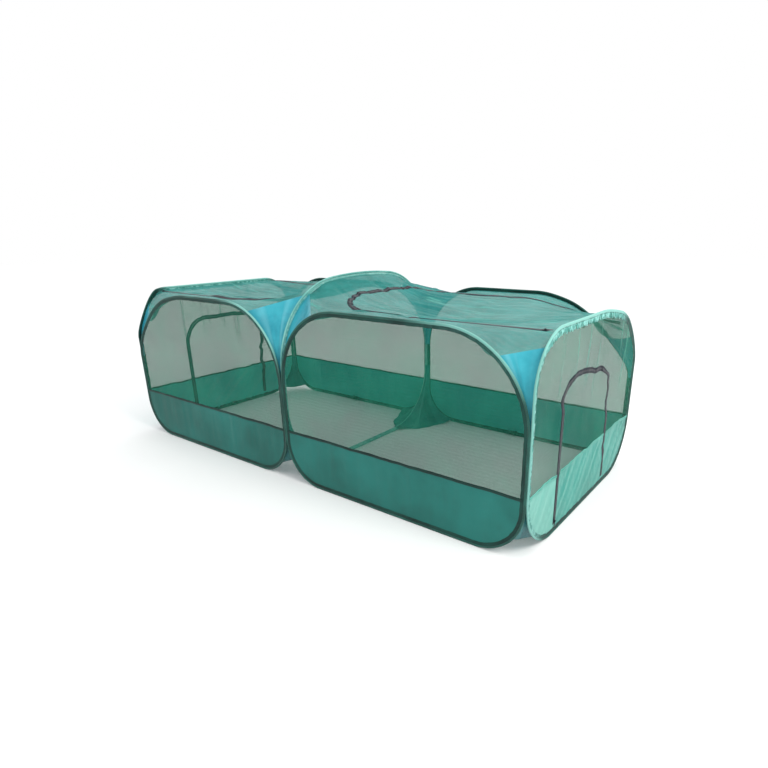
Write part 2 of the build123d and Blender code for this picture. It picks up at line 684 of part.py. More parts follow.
hatch_park_x = HATCH_HINGE_X + ZIP_TAIL / 2
for name, side in (("left", -1), ("right", 1)):
    park = Plane(
        origin=(side * hatch_park_x, -HATCH_HALF_WIDTH, roof_height(hatch_park_x, HATCH_HALF_WIDTH)),
        x_dir=(-side, 0, 0),
        z_dir=(0, 0, 1),
    )
    save(f"roof_zip_slider_{name}", [park * slider])
    save(f"roof_zip_pull_{name}", [park * pull])

peg_seat = HALF_WIDTH - FLANGE_HALF
peg_level = 2 * BEAD_R + SEAM_GAP
long_loops = []
for side_x, side_y in LONG_WALLS.values():
    turn = 0 if side_y < 0 else 180
    spot = Location((side_x * LONG_CENTRE, side_y * peg_seat, peg_level), (0, 0, turn))
    long_loops.append(one_solid(spot * peg_loop()))
save("peg_loops_long_walls", long_loops)

end_loops = []
for side, _ in ENDS.values():
    spot = Location((side * (CELL_LENGTH - FLANGE_HALF), 0, peg_level), (0, 0, 90 * side))
    end_loops.append(one_solid(spot * peg_loop()))
save("peg_loops_end_walls", end_loops)

tie_loops = []
tie_top = WALL_HEIGHT - BINDING_WIDTH - SEAM_GAP
for side, _ in ENDS.values():
    for offset in (-TIE_LOOP_SPACING / 2, TIE_LOOP_SPACING / 2):
        x = side * (CELL_LENGTH - CLOTH / 2 - SEAM_GAP - TIE_LOOP_THICKNESS / 2)
        spot = Location((x, offset, tie_top), (0, 0, 90))
        tie_loops.append(one_solid(spot * tie_loop()))
save("tie_loops", tie_loops)
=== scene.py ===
import math

import bpy
import numpy as np
from mathutils import Matrix, Vector, geometry


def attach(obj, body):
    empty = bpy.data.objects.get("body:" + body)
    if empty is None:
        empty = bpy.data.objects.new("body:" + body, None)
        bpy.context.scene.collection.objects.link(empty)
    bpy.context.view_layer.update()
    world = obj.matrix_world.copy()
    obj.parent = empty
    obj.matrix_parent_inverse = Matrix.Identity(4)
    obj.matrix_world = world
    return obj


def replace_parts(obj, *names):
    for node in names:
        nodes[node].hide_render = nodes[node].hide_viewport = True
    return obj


# Two-cell pop-up mesh pen for pets: sprung hoops in sewn bindings, netting walls over closed
# cloth skirts, a middle arch, zipped end doors and zipped roof hatches. Metres, CAD frame.

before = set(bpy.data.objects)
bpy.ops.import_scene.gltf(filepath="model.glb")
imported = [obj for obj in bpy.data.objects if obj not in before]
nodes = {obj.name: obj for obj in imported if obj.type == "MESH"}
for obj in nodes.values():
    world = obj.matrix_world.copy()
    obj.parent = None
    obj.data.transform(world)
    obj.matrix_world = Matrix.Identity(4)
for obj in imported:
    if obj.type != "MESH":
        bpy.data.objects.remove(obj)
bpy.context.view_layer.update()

# ---- sizes shared with the CAD model ----
CELL_LENGTH = 1.090
HALF_WIDTH = 0.5075
WALL_HEIGHT = 0.730
ARCH_HEIGHT = 0.825
KICK_HEIGHT = 0.217
FLOOR_FLAT = 0.0003
BEAD_R = 0.00385
BEAD_GAP = 0.00035
BINDING_WIDTH = 0.025
FLANGE_HALF = 0.0006
SEAM_GAP = 0.0003
CLOTH = 0.001
SEAT = FLANGE_HALF + SEAM_GAP + CLOTH / 2
BINDING_MIDDLE = BEAD_R + BINDING_WIDTH / 2
CORNER_SHIFT = (2 * BEAD_R + BEAD_GAP) / math.sqrt(2)
NEIGHBOUR_SHIFT = BEAD_R + BEAD_GAP / 2
ARCH_SHIFT = math.sqrt((2 * BEAD_R + BEAD_GAP) ** 2 - NEIGHBOUR_SHIFT**2)
ROOF_LEVEL = WALL_HEIGHT - BINDING_MIDDLE
DOOR_WIDTH = 0.480
DOOR_TOP = 0.545
DOOR_SILL = 0.060
DOOR_CORNER_R = 0.130
ZIP_NEAR = 0.001
ZIP_FAR = 0.011
ZIP_TAIL = 0.028
HATCH_HALF_WIDTH = 0.355
HATCH_START = 0.112
HATCH_HINGE_X = CELL_LENGTH - 0.062
HATCH_CORNER_R = 0.250
ENDS = {"left_end": (-1, 0.0), "right_end": (1, -0.030)}
LONG_WALLS = {
    "front_left": (-1, -1),
    "front_right": (1, -1),
    "rear_left": (-1, 1),
    "rear_right": (1, 1),
}


# ---- small helpers ----
def colour(code):
    """Linear RGBA of an sRGB colour written as hex."""
    parts = [int(code[i : i + 2], 16) / 255 for i in (0, 2, 4)]
    linear = [c / 12.92 if c <= 0.04045 else ((c + 0.055) / 1.055) ** 2.4 for c in parts]
    return (*linear, 1.0)


def smooth(x):
    x = np.clip(x, 0.0, 1.0)
    return x * x * (3 - 2 * x)


def lerp(a, b, t):
    return a + (b - a) * t


def ripple(x, seed, octaves=3):
    """Smooth wandering value about -1 to 1 along x, the same each run."""
    total = np.zeros_like(np.asarray(x, float))
    weight = 0.0
    for k in range(octaves):
        rate = 1.9**k
        bend = 1.3 * np.sin(rate * x * 1.9 + seed * k)
        total += np.sin(rate * x * 2 * math.pi + seed * (1.7 + k) + bend) / rate
        weight += 1 / rate
    return total / weight


def settle(points):
    """Lowers the upper rear right and front left corners, which hang under the sprung flat form."""
    points = np.array(points, float)
    x, y, z = points.T
    high = smooth((z - 0.30) / 0.36)
    rear_drop = 0.050 * smooth((y - 0.02) / 0.44) + 0.066 * smooth((y - 0.24) / 0.26)
    rear = smooth((x - 0.62) / 0.46) * rear_drop
    front = smooth((-x - 0.62) / 0.44) * 0.075 * smooth((-y - 0.368) / 0.14)
    points[:, 2] -= high * (rear + front)
    return points


def make(name, verts, faces, body, materials, uv=None, face_mats=None, values=None, slot=None):
    """Mesh object from numpy vertices, with a UV map in metres and point attributes."""
    mesh = bpy.data.meshes.new(name)
    corners = [tuple(int(i) for i in face) for face in faces]
    mesh.from_pydata([tuple(v) for v in settle(verts)], [], corners)
    mesh.update()
    obj = bpy.data.objects.new(name, mesh)
    bpy.context.scene.collection.objects.link(obj)
    for material in materials:
        mesh.materials.append(material)
    if uv is not None:
        layer = mesh.uv_layers.new(name="UVMap")
        index = np.zeros(len(mesh.loops), np.int32)
        mesh.loops.foreach_get("vertex_index", index)
        layer.data.foreach_set("uv", np.asarray(uv, np.float32)[index].ravel())
    for key, array in (values or {}).items():
        attribute = mesh.attributes.new(key, "FLOAT", "POINT")
        attribute.data.foreach_set("value", np.asarray(array, np.float32))
    if face_mats is not None:
        mesh.polygons.foreach_set("material_index", np.asarray(face_mats, np.int32))
    mesh.polygons.foreach_set("use_smooth", np.ones(len(mesh.polygons), bool))
    mesh.update()
    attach(obj, body)
    return obj


def strip_faces(rows, columns, closed_rows=False, closed_columns=False):
    """Quads of a grid whose vertex index is row * columns + column."""
    faces = []
    for i in range(rows if closed_rows else rows - 1):
        for j in range(columns if closed_columns else columns - 1):
            here, after, aside = i * columns, ((i + 1) % rows) * columns, (j + 1) % columns
            faces.append((here + j, here + aside, after + aside, after + j))
    return faces


def sweep(rows, s, across, closed):
    """Tube whose long edges are `rows`, at s along and `across` round: vertices, faces, UVs."""
    verts = np.stack(rows, 1).reshape(-1, 3)
    uv = np.stack([np.repeat(s, len(across)), np.tile(across, len(s))], 1)
    return verts, strip_faces(len(s), len(across), closed, True), uv


def arc(cu, cv, r, start, end, count):
    """Points along an arc, less its first."""
    angles = [start + (end - start) * k / count for k in range(1, count + 1)]
    return [(cu + r * math.cos(a), cv + r * math.sin(a)) for a in angles]


# ---- hoops ----
class Hoop:
    """Outer edge of a hoop's binding in its own plane, symmetric about u = 0."""

    def __init__(self, width, height, shoulder_r, foot_r, crown_r=0.0):
        self.width, self.height = width, height
        self.shoulder_r, self.foot_r, self.crown_r = shoulder_r, foot_r, crown_r
        self.shoulder_u = width / 2 - shoulder_r
        self.foot_u = width / 2 - foot_r
        if crown_r:
            self.crown_v = height - crown_r
            rise = math.sqrt((crown_r - shoulder_r) ** 2 - self.shoulder_u**2)
            self.shoulder_v = self.crown_v + rise
            self.turn = math.atan2(self.shoulder_v - self.crown_v, self.shoulder_u)
        else:
            self.shoulder_v = height - shoulder_r
            self.turn = math.pi / 2

    def line(self, step):
        """Points and inward normals round from the middle of the foot, the way along, the length."""
        side = self.steps(self.foot_r, self.shoulder_v, step)
        half = [((u, 0.0), (0.0, 1.0)) for u in self.steps(0.0, self.foot_u, step)]
        half += self.bend(self.foot_u, self.foot_r, self.foot_r, -math.pi / 2, 0.0, step)
        half += [((self.width / 2, v), (-1.0, 0.0)) for v in side]
        half += self.bend(self.shoulder_u, self.shoulder_v, self.shoulder_r, 0.0, self.turn, step)
        if self.crown_r:
            half += self.bend(0.0, self.crown_v, self.crown_r, self.turn, math.pi / 2, step)
        else:
            top = self.steps(self.shoulder_u, 0.0, step)
            half += [((u, self.height), (0.0, -1.0)) for u in top]
        points = np.array([p for p, _ in half] + [(-p[0], p[1]) for p, _ in reversed(half[1:-1])])
        normals = np.array([n for _, n in half] + [(-n[0], n[1]) for _, n in reversed(half[1:-1])])
        keep = np.r_[True, np.linalg.norm(np.diff(points, axis=0), axis=1) > 1e-6]
        points, normals = points[keep], normals[keep]
        gaps = np.linalg.norm(np.roll(points, -1, 0) - points, axis=1)
        return points, normals, np.r_[0, np.cumsum(gaps)[:-1]], gaps.sum()

    @staticmethod
    def steps(a, b, step):
        return np.linspace(a, b, max(2, int(round(abs(b - a) / step)) + 1))

    def bend(self, cu, cv, r, start, end, step):
        ways = [(math.cos(a), math.sin(a)) for a in self.steps(start, end, step / r)]
        return [((cu + r * du, cv + r * dv), (-du, -dv)) for du, dv in ways]

    def top(self, u, inset):
        """Height of the hoop's upper side at u, `inset` in from its outer edge."""
        u = np.abs(u)
        if self.crown_r:
            crown = self.crown_v + np.sqrt(np.maximum((self.crown_r - inset) ** 2 - u**2, 0))
            limit = self.crown_r * math.cos(self.turn)
        else:
            crown = np.full_like(np.asarray(u, float), self.height - inset)
            limit = self.shoulder_u
        r = self.shoulder_r - inset
        out = np.clip(u - self.shoulder_u, 0, r * 0.999)
        return np.where(u <= limit, crown, self.shoulder_v + np.sqrt(r**2 - out**2))

    def inside(self, u, v, inset):
        u = np.abs(u)
        half = self.width / 2 - inset
        good = (u < half) & (v > inset) & (v < self.top(np.minimum(u, half * 0.9999), inset))
        corner = (u > self.foot_u) & (v < self.foot_r)
        gap = np.hypot(u - self.foot_u, v - self.foot_r)
        return good & (~corner | (gap < self.foot_r - inset))


LONG_WIDTH = CELL_LENGTH - CORNER_SHIFT - NEIGHBOUR_SHIFT + 2 * BEAD_R
LONG_CENTRE = NEIGHBOUR_SHIFT - BEAD_R + LONG_WIDTH / 2
LONG_HOOP = Hoop(LONG_WIDTH, WALL_HEIGHT + FLOOR_FLAT, 0.316, 0.178)
END_WIDTH = 2 * HALF_WIDTH - 2 * (CORNER_SHIFT - BEAD_R)
END_HOOP = Hoop(END_WIDTH, WALL_HEIGHT + FLOOR_FLAT, 0.185, 0.213)
ARCH_WIDTH = 2 * HALF_WIDTH - 2 * (ARCH_SHIFT - BEAD_R)
ARCH_HOOP = Hoop(ARCH_WIDTH, ARCH_HEIGHT + FLOOR_FLAT, 0.350, 0.300, 1.900)


HOOP_STEP = 0.012  # between the points of a hoop's outline where cloth meets it


class Wall:
    """A hoop's plane: u along the wall, v up, w out of the pen."""

    def __init__(self, hoop, origin, along, out):
        self.hoop = hoop
        self.origin = np.array([*origin, -FLOOR_FLAT])
        self.along = np.array([*along, 0.0])
        self.out = np.array([*out, 0.0])
        self.edge = hoop.line(HOOP_STEP)[0]

    def place(self, u, v, w):
        u, v, w = np.broadcast_arrays(u, v, w)
        points = self.origin + u[:, None] * self.along + w[:, None] * self.out
        points[:, 2] += v
        points[:, 2] = np.maximum(points[:, 2], 0.0)
        return points

    def from_edge(self, u, v):
        """Distance of each point from the hoop's outer edge."""
        a, b = self.edge, np.roll(self.edge, -1, 0)
        points = np.stack([u, v], 1)
        best = np.full(len(points), 9.0)
        for start, end in zip(a, b):
            side = end - start
            t = np.clip((points - start) @ side / max(side @ side, 1e-12), 0, 1)
            best = np.minimum(best, np.linalg.norm(points - start - t[:, None] * side, axis=1))
        return best


walls = {
    name: Wall(LONG_HOOP, (sx * LONG_CENTRE, sy * HALF_WIDTH), (1, 0), (0, sy))
    for name, (sx, sy) in LONG_WALLS.items()
}
for name, (side, _) in ENDS.items():
    walls[name] = Wall(END_HOOP, (side * CELL_LENGTH, 0), (0, 1), (side, 0))
walls["arch"] = Wall(ARCH_HOOP, (0, 0), (0, 1), (1, 0))


# ---- materials ----
class Nodes:
    """Short names for building the node tree of one material or of the world."""

    def __init__(self, name, world=False):
        self.owner = (bpy.data.worlds if world else bpy.data.materials).new(name)
        self.owner.use_nodes = True
        self.tree = self.owner.node_tree
        self.tree.nodes.clear()
        self.output = self.node("OutputWorld" if world else "OutputMaterial")

    def node(self, kind, **settings):
        made = self.tree.nodes.new("ShaderNode" + kind)
        for key, value in settings.items():
            setattr(made, key, value)
        return made

    def link(self, a, b):
        self.tree.links.new(a, b)

    def value(self, socket, given):
        if isinstance(given, bpy.types.NodeSocket):
            self.link(given, socket)
        else:
            socket.default_value = given

    def math(self, operation, a, b=0.0, c=0.0, clamp=False):
        made = self.node("Math", operation=operation, use_clamp=clamp)
        for socket, given in zip(made.inputs, (a, b, c)):
            self.value(socket, given)
        return made.outputs[0]

    def mix(self, factor, a, b):
        made = self.node("Mix", data_type="RGBA")
        self.value(made.inputs["Factor"], factor)
        self.value(made.inputs[6], a)
        self.value(made.inputs[7], b)
        return made.outputs[2]

    def ramp(self, factor, low, high):
        """Factor smoothly taken from 0 at low to 1 at high."""
        made = self.node("MapRange", interpolation_type="SMOOTHSTEP")
        self.value(made.inputs["Value"], factor)
        made.inputs["From Min"].default_value = low
        made.inputs["From Max"].default_value = high
        return made.outputs[0]

    def tinted(self, base, where, strength, code):
        """The base colour taken towards another one where `where` is 1."""
        return self.mix(self.math("MULTIPLY", where, strength), base, colour(code))

    def blotches(self, dark, light, scale, low=0.3, high=0.7, detail=4.0, rough=0.6):
        """Two colours that drift into each other."""
        drift = self.ramp(self.noise(scale, detail, rough), low, high)
        return self.mix(drift, colour(dark), colour(light))

    def uv(self):
        """Way along and across the cloth, in metres."""
        split = self.node("SeparateXYZ")
        self.link(self.node("UVMap", uv_map="UVMap").outputs[0], split.inputs[0])
        return split.outputs[0], split.outputs[1]

    def noise(self, scale, detail=3.0, rough=0.5, stretch=(1, 1, 1), distortion=0.0):
        place = self.node("Mapping")
        place.inputs["Scale"].default_value = stretch
        self.link(self.node("TexCoord").outputs["Object"], place.inputs[0])
        made = self.node("TexNoise")
        self.link(place.outputs[0], made.inputs["Vector"])
        made.inputs["Scale"].default_value = scale
        made.inputs["Detail"].default_value = detail
        made.inputs["Roughness"].default_value = rough
        made.inputs["Distortion"].default_value = distortion
        return made.outputs[0]

    def attribute(self, name):
        return self.node("Attribute", attribute_name=name).outputs["Fac"]

    def wave(self, along, pitch):
        """Sine of the way along, one turn every `pitch`."""
        return self.math("SINE", self.math("MULTIPLY", along, 2 * math.pi / pitch))

    def thread(self, along, pitch, low=0.35, high=0.75):
        """1 on the threads that repeat every `pitch`, 0 between them."""
        turn = self.math("FRACT", self.math("DIVIDE", along, pitch))
        off = self.math("MULTIPLY", self.math("ABSOLUTE", self.math("SUBTRACT", turn, 0.5)), 2.0)
        return self.ramp(off, low, high)

    def bump(self, height, distance, strength=1.0, under=None):
        made = self.node("Bump")
        made.inputs["Strength"].default_value = strength
        made.inputs["Distance"].default_value = distance
        self.link(height, made.inputs["Height"])
        if under is not None:
            self.link(under, made.inputs["Normal"])
        return made.outputs[0]

    def surface(self, base, roughness, normal, sheen=0.0, tint="ffffff", specular=0.5, metallic=0.0):
        """Principled shader; the normal is a bump's output or None."""
        made = self.node("BsdfPrincipled")
        self.value(made.inputs["Base Color"], base)
        self.value(made.inputs["Roughness"], roughness)
        if normal is not None:
            self.link(normal, made.inputs["Normal"])
        made.inputs["Sheen Weight"].default_value = sheen
        made.inputs["Sheen Tint"].default_value = colour(tint)
        made.inputs["Sheen Roughness"].default_value = 0.4
        made.inputs["Specular IOR Level"].default_value = specular
        made.inputs["Metallic"].default_value = metallic
        return made

    def blend(self, factor, first, second):
        """The first shader where the factor is 0, the second where it is 1."""
        made = self.node("MixShader")
        for socket, given in zip(made.inputs, (factor, first.outputs[0], second.outputs[0])):
            self.link(given, socket)
        return made

    def finish(self, shader):
        self.link(shader.outputs[0], self.output.inputs[0])
        return self.owner


def woven(n, pitch):
    """Height of a plain weave, warp and weft crossing over each other."""
    u, v = n.uv()
    return n.math("MULTIPLY", n.wave(u, pitch), n.wave(v, pitch))


def skirt_cloth(name, dark, light, streak, roughness, sheen):
    """Coated polyester: fine plain weave, faint vertical streaks, and a painted highlight along
    wrinkles.
    """
    n = Nodes(name)
    weave = woven(n, 0.0014)
    streaks = n.noise(26.0, 3.0, 0.6, stretch=(1, 1, 0.06))
    base = n.blotches(dark, light, 3.0, 0.3, 0.72, rough=0.55)
    base = n.tinted(base, n.ramp(streaks, 0.42, 0.66), streak, light)
    # Painted highlight: paler where the cloth is creased.
    base = n.tinted(base, n.attribute("crease_highlight"), 0.55, "8fcdbf")
    base = n.mix(n.math("MULTIPLY_ADD", weave, 0.03, 0.03), base, colour("0d2f2b"))
    rough = n.math("MULTIPLY_ADD", streaks, 0.16, roughness - 0.08)
    rumple = n.bump(n.noise(16.0, 4.0, 0.5, stretch=(1, 1, 0.35)), 0.004, 0.5)
    normal = n.bump(weave, 0.00012, 0.5, rumple)
    return n.finish(n.surface(base, rough, normal, sheen, "c8efe6", 0.3))


MESH_PITCH = 0.0016  # from one thread of the netting to the next


def netting(name, thread, lit, cover, hole, pull):
    """See-through net: `cover` on its threads, `hole` between them, more where it is gathered, and
    paler there as a painted highlight.
    """
    n = Nodes(name)
    u, v = n.uv()
    lean = n.math("MULTIPLY", v, 0.5)
    a = n.thread(n.math("ADD", u, lean), MESH_PITCH)
    b = n.thread(n.math("SUBTRACT", u, lean), MESH_PITCH)
    c = n.thread(v, MESH_PITCH * 1.15)
    net = n.math("MAXIMUM", n.math("MAXIMUM", a, b), c)
    drift = n.noise(5.0, 4.0, 0.6)
    grain = n.noise(210.0, 2.0, 0.7)
    streak = n.ramp(n.noise(34.0, 3.0, 0.6, stretch=pull), 0.55, 0.72)
    gather = n.math("MULTIPLY", streak, n.attribute("crease_highlight"))
    solid = n.math("MULTIPLY_ADD", net, cover - hole, hole)
    for noise, share in ((drift, 0.12), (grain, 0.22)):
        solid = n.math("ADD", solid, n.math("MULTIPLY", n.math("SUBTRACT", noise, 0.5), share))
    solid = n.math("ADD", solid, n.math("MULTIPLY", gather, 0.34), clamp=True)
    base = n.mix(n.ramp(drift, 0.3, 0.7), colour(thread), colour(lit))
    # Painted highlight on the gathered ridges.
    base = n.tinted(base, gather, 0.6, "6fb8a9")
    base = n.tinted(base, n.ramp(grain, 0.45, 0.7), 0.3, "12362c")
    cloth = n.surface(base, 0.6, n.bump(net, 0.0002, 0.4), 0.1, "bfe8dd", 0.12)
    return n.finish(n.blend(solid, n.node("BsdfTransparent"), cloth))


def tape(name, dark, light, stitch, rows, specular=0.2, fold_highlight=None):
    """Sewn binding tape: cross ribs, two rows of stitches along it, colour that drifts along,
    painted highlights on its crinkles and painted sunlight on its lit parts.
    """
    n = Nodes(name)
    s, across = n.uv()
    fold = n.noise(60.0, 3.0, 0.6, distortion=0.6)
    base = n.blotches(dark, light, 7.0, 0.35)
    # Painted highlight on the tape's crinkles.
    base = n.tinted(base, n.ramp(fold, 0.5, 0.68), 0.35, fold_highlight or light)
    # Painted sunlight: a paler crinkled colour where the hoop's binding faces the light.
    painted_sunlit = n.mix(n.ramp(fold, 0.42, 0.62), colour("3f8d83"), colour("8ccbc3"))
    base = n.mix(n.attribute("painted_light"), base, painted_sunlit)
    lines = []
    for row in rows:
        near = n.math("ABSOLUTE", n.math("SUBTRACT", across, row))
        lines.append(n.math("SUBTRACT", 1.0, n.ramp(near, 0.0004, 0.0009)))
    seam = n.math("MAXIMUM", *lines)
    stitches = n.math("MULTIPLY", seam, n.thread(s, 0.0034, 0.25, 0.4))
    base = n.tinted(base, stitches, 0.8, stitch)
    rough = n.math("MULTIPLY_ADD", fold, 0.2, 0.42)
    ribbed = n.bump(n.wave(s, 0.0011), 0.00008, 0.4, n.bump(fold, 0.0016, 0.5))
    sunk = n.bump(n.math("SUBTRACT", stitches, n.math("MULTIPLY", seam, 1.6)), 0.0005, 0.7, ribbed)
    return n.finish(n.surface(base, rough, sunk, 0.08, "bfe8e0", specular))


def cord_cloth(name, dark, light, pitch=0.0022):
    """Woven piping or webbing with a slanting rib."""
    n = Nodes(name)
    s, across = n.uv()
    rib = n.wave(n.math("ADD", s, n.math("MULTIPLY", across, 0.8)), pitch)
    # Painted sunlight on the piping where the hoop's binding faces the light.
    base = n.mix(n.attribute("painted_light"), n.blotches(dark, light, 9.0, 0.35, 0.68), colour("86cabf"))
    base = n.mix(n.math("MULTIPLY_ADD", rib, 0.08, 0.08), base, colour("0b1f1c"))
    return n.finish(n.surface(base, 0.48, n.bump(rib, 0.0002, 0.5), 0.1, "d5f4ee", 0.3))


def zip_tape(name):
    """Dark woven tape with paler warp threads."""
    n = Nodes(name)
    s, across = n.uv()
    base = n.blotches("10141b", "222833", 12.0)
    base = n.tinted(base, n.thread(across, 0.0020, 0.55, 0.9), 0.25, "3d4552")
    ribbed = n.bump(n.wave(s, 0.0009), 0.0001, 0.5)
    return n.finish(n.surface(base, 0.55, ribbed, 0.05, "9aa0b0", 0.2))


def zip_teeth(name):
    """Moulded dark plastic."""
    n = Nodes(name)
    base = n.blotches("16181e", "2c303a", 40.0, detail=2.0, rough=0.5)
    return n.finish(n.surface(base, 0.32, None, specular=0.6))


def metal(name, dark, light, rough, metallic):
    """Drawn or cast metal: fine scratches along it and paler rubbed places."""
    n = Nodes(name)
    grain = n.noise(420.0, 3.0, 0.6, stretch=(1, 1, 0.2))
    base = n.blotches(dark, light, 30.0, 0.3, 0.75, 3.0, 0.5)
    roughness = n.math("MULTIPLY_ADD", grain, 0.2, rough - 0.1)
    return n.finish(n.surface(base, roughness, n.bump(grain, 0.00005, 0.3), metallic=metallic))


def gusset_cloth(name, dark, light, shine):
    """Light coated cloth with soft folds running from its sewn point, and a painted highlight along
    the folds.
    """
    n = Nodes(name)
    weave = woven(n, 0.0013)
    base = n.blotches(dark, light, 9.0, 0.3, 0.72, rough=0.55)
    # Painted highlight: the shine colour on the fold ridges.
    base = n.tinted(base, n.attribute("crease_highlight"), 0.6, shine)
    base = n.mix(n.math("MULTIPLY_ADD", weave, 0.025, 0.025), base, colour("0f3a44"))
    rumple = n.bump(n.noise(34.0, 4.0, 0.5, stretch=(1, 1, 0.3)), 0.003, 0.5)
    return n.finish(n.surface(base, 0.38, n.bump(weave, 0.0001, 0.4, rumple), 0.12, "d8f2f8", 0.3))


# One skirt fabric. The rear, left end and right end copies are lighter as painted light: sunlight on
# the rear and the right end, light through the cloth on the left end. The right end's is also
# shinier.
SKIRT = skirt_cloth("skirt cloth", "0e574f", "1b746c", 0.14, 0.6, 0.1)
SKIRT_PAINTED_SUNLIT = skirt_cloth("skirt cloth, painted sunlit", "38b0a6", "4cc4ba", 0.14, 0.6, 0.1)
SKIRT_PAINTED_LIT_THROUGH = skirt_cloth("skirt cloth, painted lit through", "4cc2b4", "62d2c6", 0.14, 0.6, 0.1)
SKIRT_SHINY_PAINTED_LIT = skirt_cloth("skirt cloth, shiny, painted lit", "1b776c", "2f9084", 0.35, 0.45, 0.15)
NET = netting("wall netting", "0b5340", "167359", 0.62, 0.29, (1, 1, 0.04))
# Roof netting: paler threads as painted sunlight, and denser cover.
NET_ROOF_PAINTED_LIT = netting("roof netting", "1d7a74", "36958f", 0.82, 0.44, (0.05, 1, 1))
TAPE = tape("binding tape", "0c2a26", "17463e", "081c19", [0.0095, 0.0225])
ARCH_STITCHES = [0.0105, 0.0215]
TAPE_ARCH = tape("arch binding tape", "4c9f96", "85c4bb", "dff5ef", ARCH_STITCHES, 0.25, "c9efe8")
PIPING = cord_cloth("piping", "12423a", "205f54")
PIPING_ARCH = cord_cloth("arch piping", "5aa79d", "8bcac0")
EDGE = tape("hem tape", "0a2622", "123c35", "071613", [0.002, 0.010])
# The right end's hem tape, lighter as painted sunlight.
EDGE_PAINTED_LIT = tape("hem tape, painted sunlit", "2f8577", "4fa596", "9fd8cc", [0.002, 0.010])
ZIP_TAPE = zip_tape("zip tape")
ZIP_TEETH = zip_teeth("zip coil")
WEBBING = cord_cloth("webbing", "0e1f1c", "1b3632", 0.0016)
TOP_GUSSET = gusset_cloth("upper gusset cloth", "1f8a9c", "38a8b8", "8ed6e0")
FOOT_GUSSET = gusset_cloth("foot gusset cloth", "1d5a5f", "2d7577", "5fa9a4")
WIRE = metal("spring wire", "8a8d92", "b9bcc0", 0.3, 1.0)
ZINC = metal("enamelled zinc", "1c1e24", "3a3d46", 0.35, 0.85)


# ---- bindings ----
TAPE_START = 0.0098  # inset at which the flat tape leaves the piping
TAPE_SHARE = 0.68  # visible width of the flat tape against the CAD's


def binding_profile():
    """Cross-section of piping and tape as (inset, lift, across for UV, 1 on the piping)."""
    rows = [(0.0250, 0.00028, 0.0250, 0), (0.0246, 0.00055, 0.0246, 0)]
    rows += [(x, 0.00060, x, 0) for x in (0.0220, 0.0190, 0.0155, 0.0120)]
    rows += [(TAPE_START, 0.00070, TAPE_START, 0), (0.0082, 0.0011, 0.0082, 1)]
    for k in range(13):
        a = math.radians(38 + (322 - 38) * k / 12)
        rows.append((BEAD_R + BEAD_R * math.cos(a), BEAD_R * math.sin(a), a * BEAD_R, 1))
    back = [(x, -y, 0.03 + x, m) for x, y, _, m in reversed(rows[:8])]
    return rows + back


def binding(name, wall, materials, pucker, painted_light, seed, tape_painted_light=1.0, sleeve=0.0):
    """A hoop's sewn tape and piping. A sleeve adds a ruffled, wider tape along the hoop's top."""
    points, normals, s, total = wall.hoop.line(0.0065)
    profile = np.array(binding_profile())
    flat_part = profile[:, 0] > TAPE_START
    profile[flat_part, 0] = TAPE_START + (profile[flat_part, 0] - TAPE_START) * TAPE_SHARE
    count, across = len(points), len(profile)
    inset, lift, cross, piping = profile.T
    share = np.clip((inset - 0.007) / 0.013, 0, 1)
    edge = share * np.ones((count, 1))
    wave = ripple(s / total * 41, seed) * 0.6 + ripple(s / total * 97, seed + 3) * 0.4
    small = ripple(s / total * 173, seed + 5)
    bend = wave[:, None] * edge * 0.0007 * pucker + small[:, None] * edge**2 * 0.0004 * pucker
    scallop = (ripple(s / total * 61, seed + 7)[:, None] * 0.0007 * pucker) * (edge > 0.85)
    wide = sleeve * smooth((points[:, 1] - 0.66) / 0.05)[:, None]
    scallop = scallop + wide * edge * (0.010 + 0.003 * ripple(s * 34, seed + 2)[:, None])
    bend = bend + wide * edge * 0.0016 * ripple(s * 47, seed + 9, 2)[:, None]
    reach = inset + scallop
    u = points[:, 0:1] + normals[:, 0:1] * reach
    v = points[:, 1:2] + normals[:, 1:2] * reach
    verts = wall.place(u.ravel(), v.ravel(), (lift + bend).ravel())
    faces = strip_faces(count, across, True, True)
    uv = np.stack([np.repeat(s, across), np.tile(cross, count)], 1)
    on_piping = [int(piping[f[0] % across] > 0.5 and piping[f[1] % across] > 0.5) for f in faces]
    # How much painted sunlight each point of the binding gets.
    tint = np.zeros(count) if painted_light is None else painted_light(points[:, 0], points[:, 1])
    values = {"painted_light": (tint[:, None] * np.where(piping > 0.5, 1.0, tape_painted_light)).ravel()}
    return make(name, verts, faces, "pen", materials, uv, on_piping, values, "binding_tape")


def right_end_painted_light(u, v):
    """Painted light on the right end hoop: bright along its top and down to the front, dark towards
    the rear.
    """
    top = smooth((v - 0.60) / 0.09)
    front = smooth((-u - 0.36) / 0.10)
    rear = smooth((u - 0.24) / 0.10)
    return np.clip(np.maximum(top, 0.75 * front) * (1 - 0.95 * rear), 0, 1)


# Painted light along the left end hoop's top.
def left_end_painted_light(u, v):
    return smooth((v - 0.66) / 0.06) * smooth((u + 0.38) / 0.10) * smooth((0.42 - u) / 0.10)


# Painted light on the upper right of the front right hoop.
def front_right_painted_light(u, v):
    return 0.75 * smooth((v - 0.50) / 0.15) * smooth((u - 0.05) / 0.25)


# Painted light on the upper right of the front left hoop.
def front_left_painted_light(u, v):
    return 0.9 * smooth((v - 0.45) / 0.15) * smooth((u - 0.15) / 0.2)


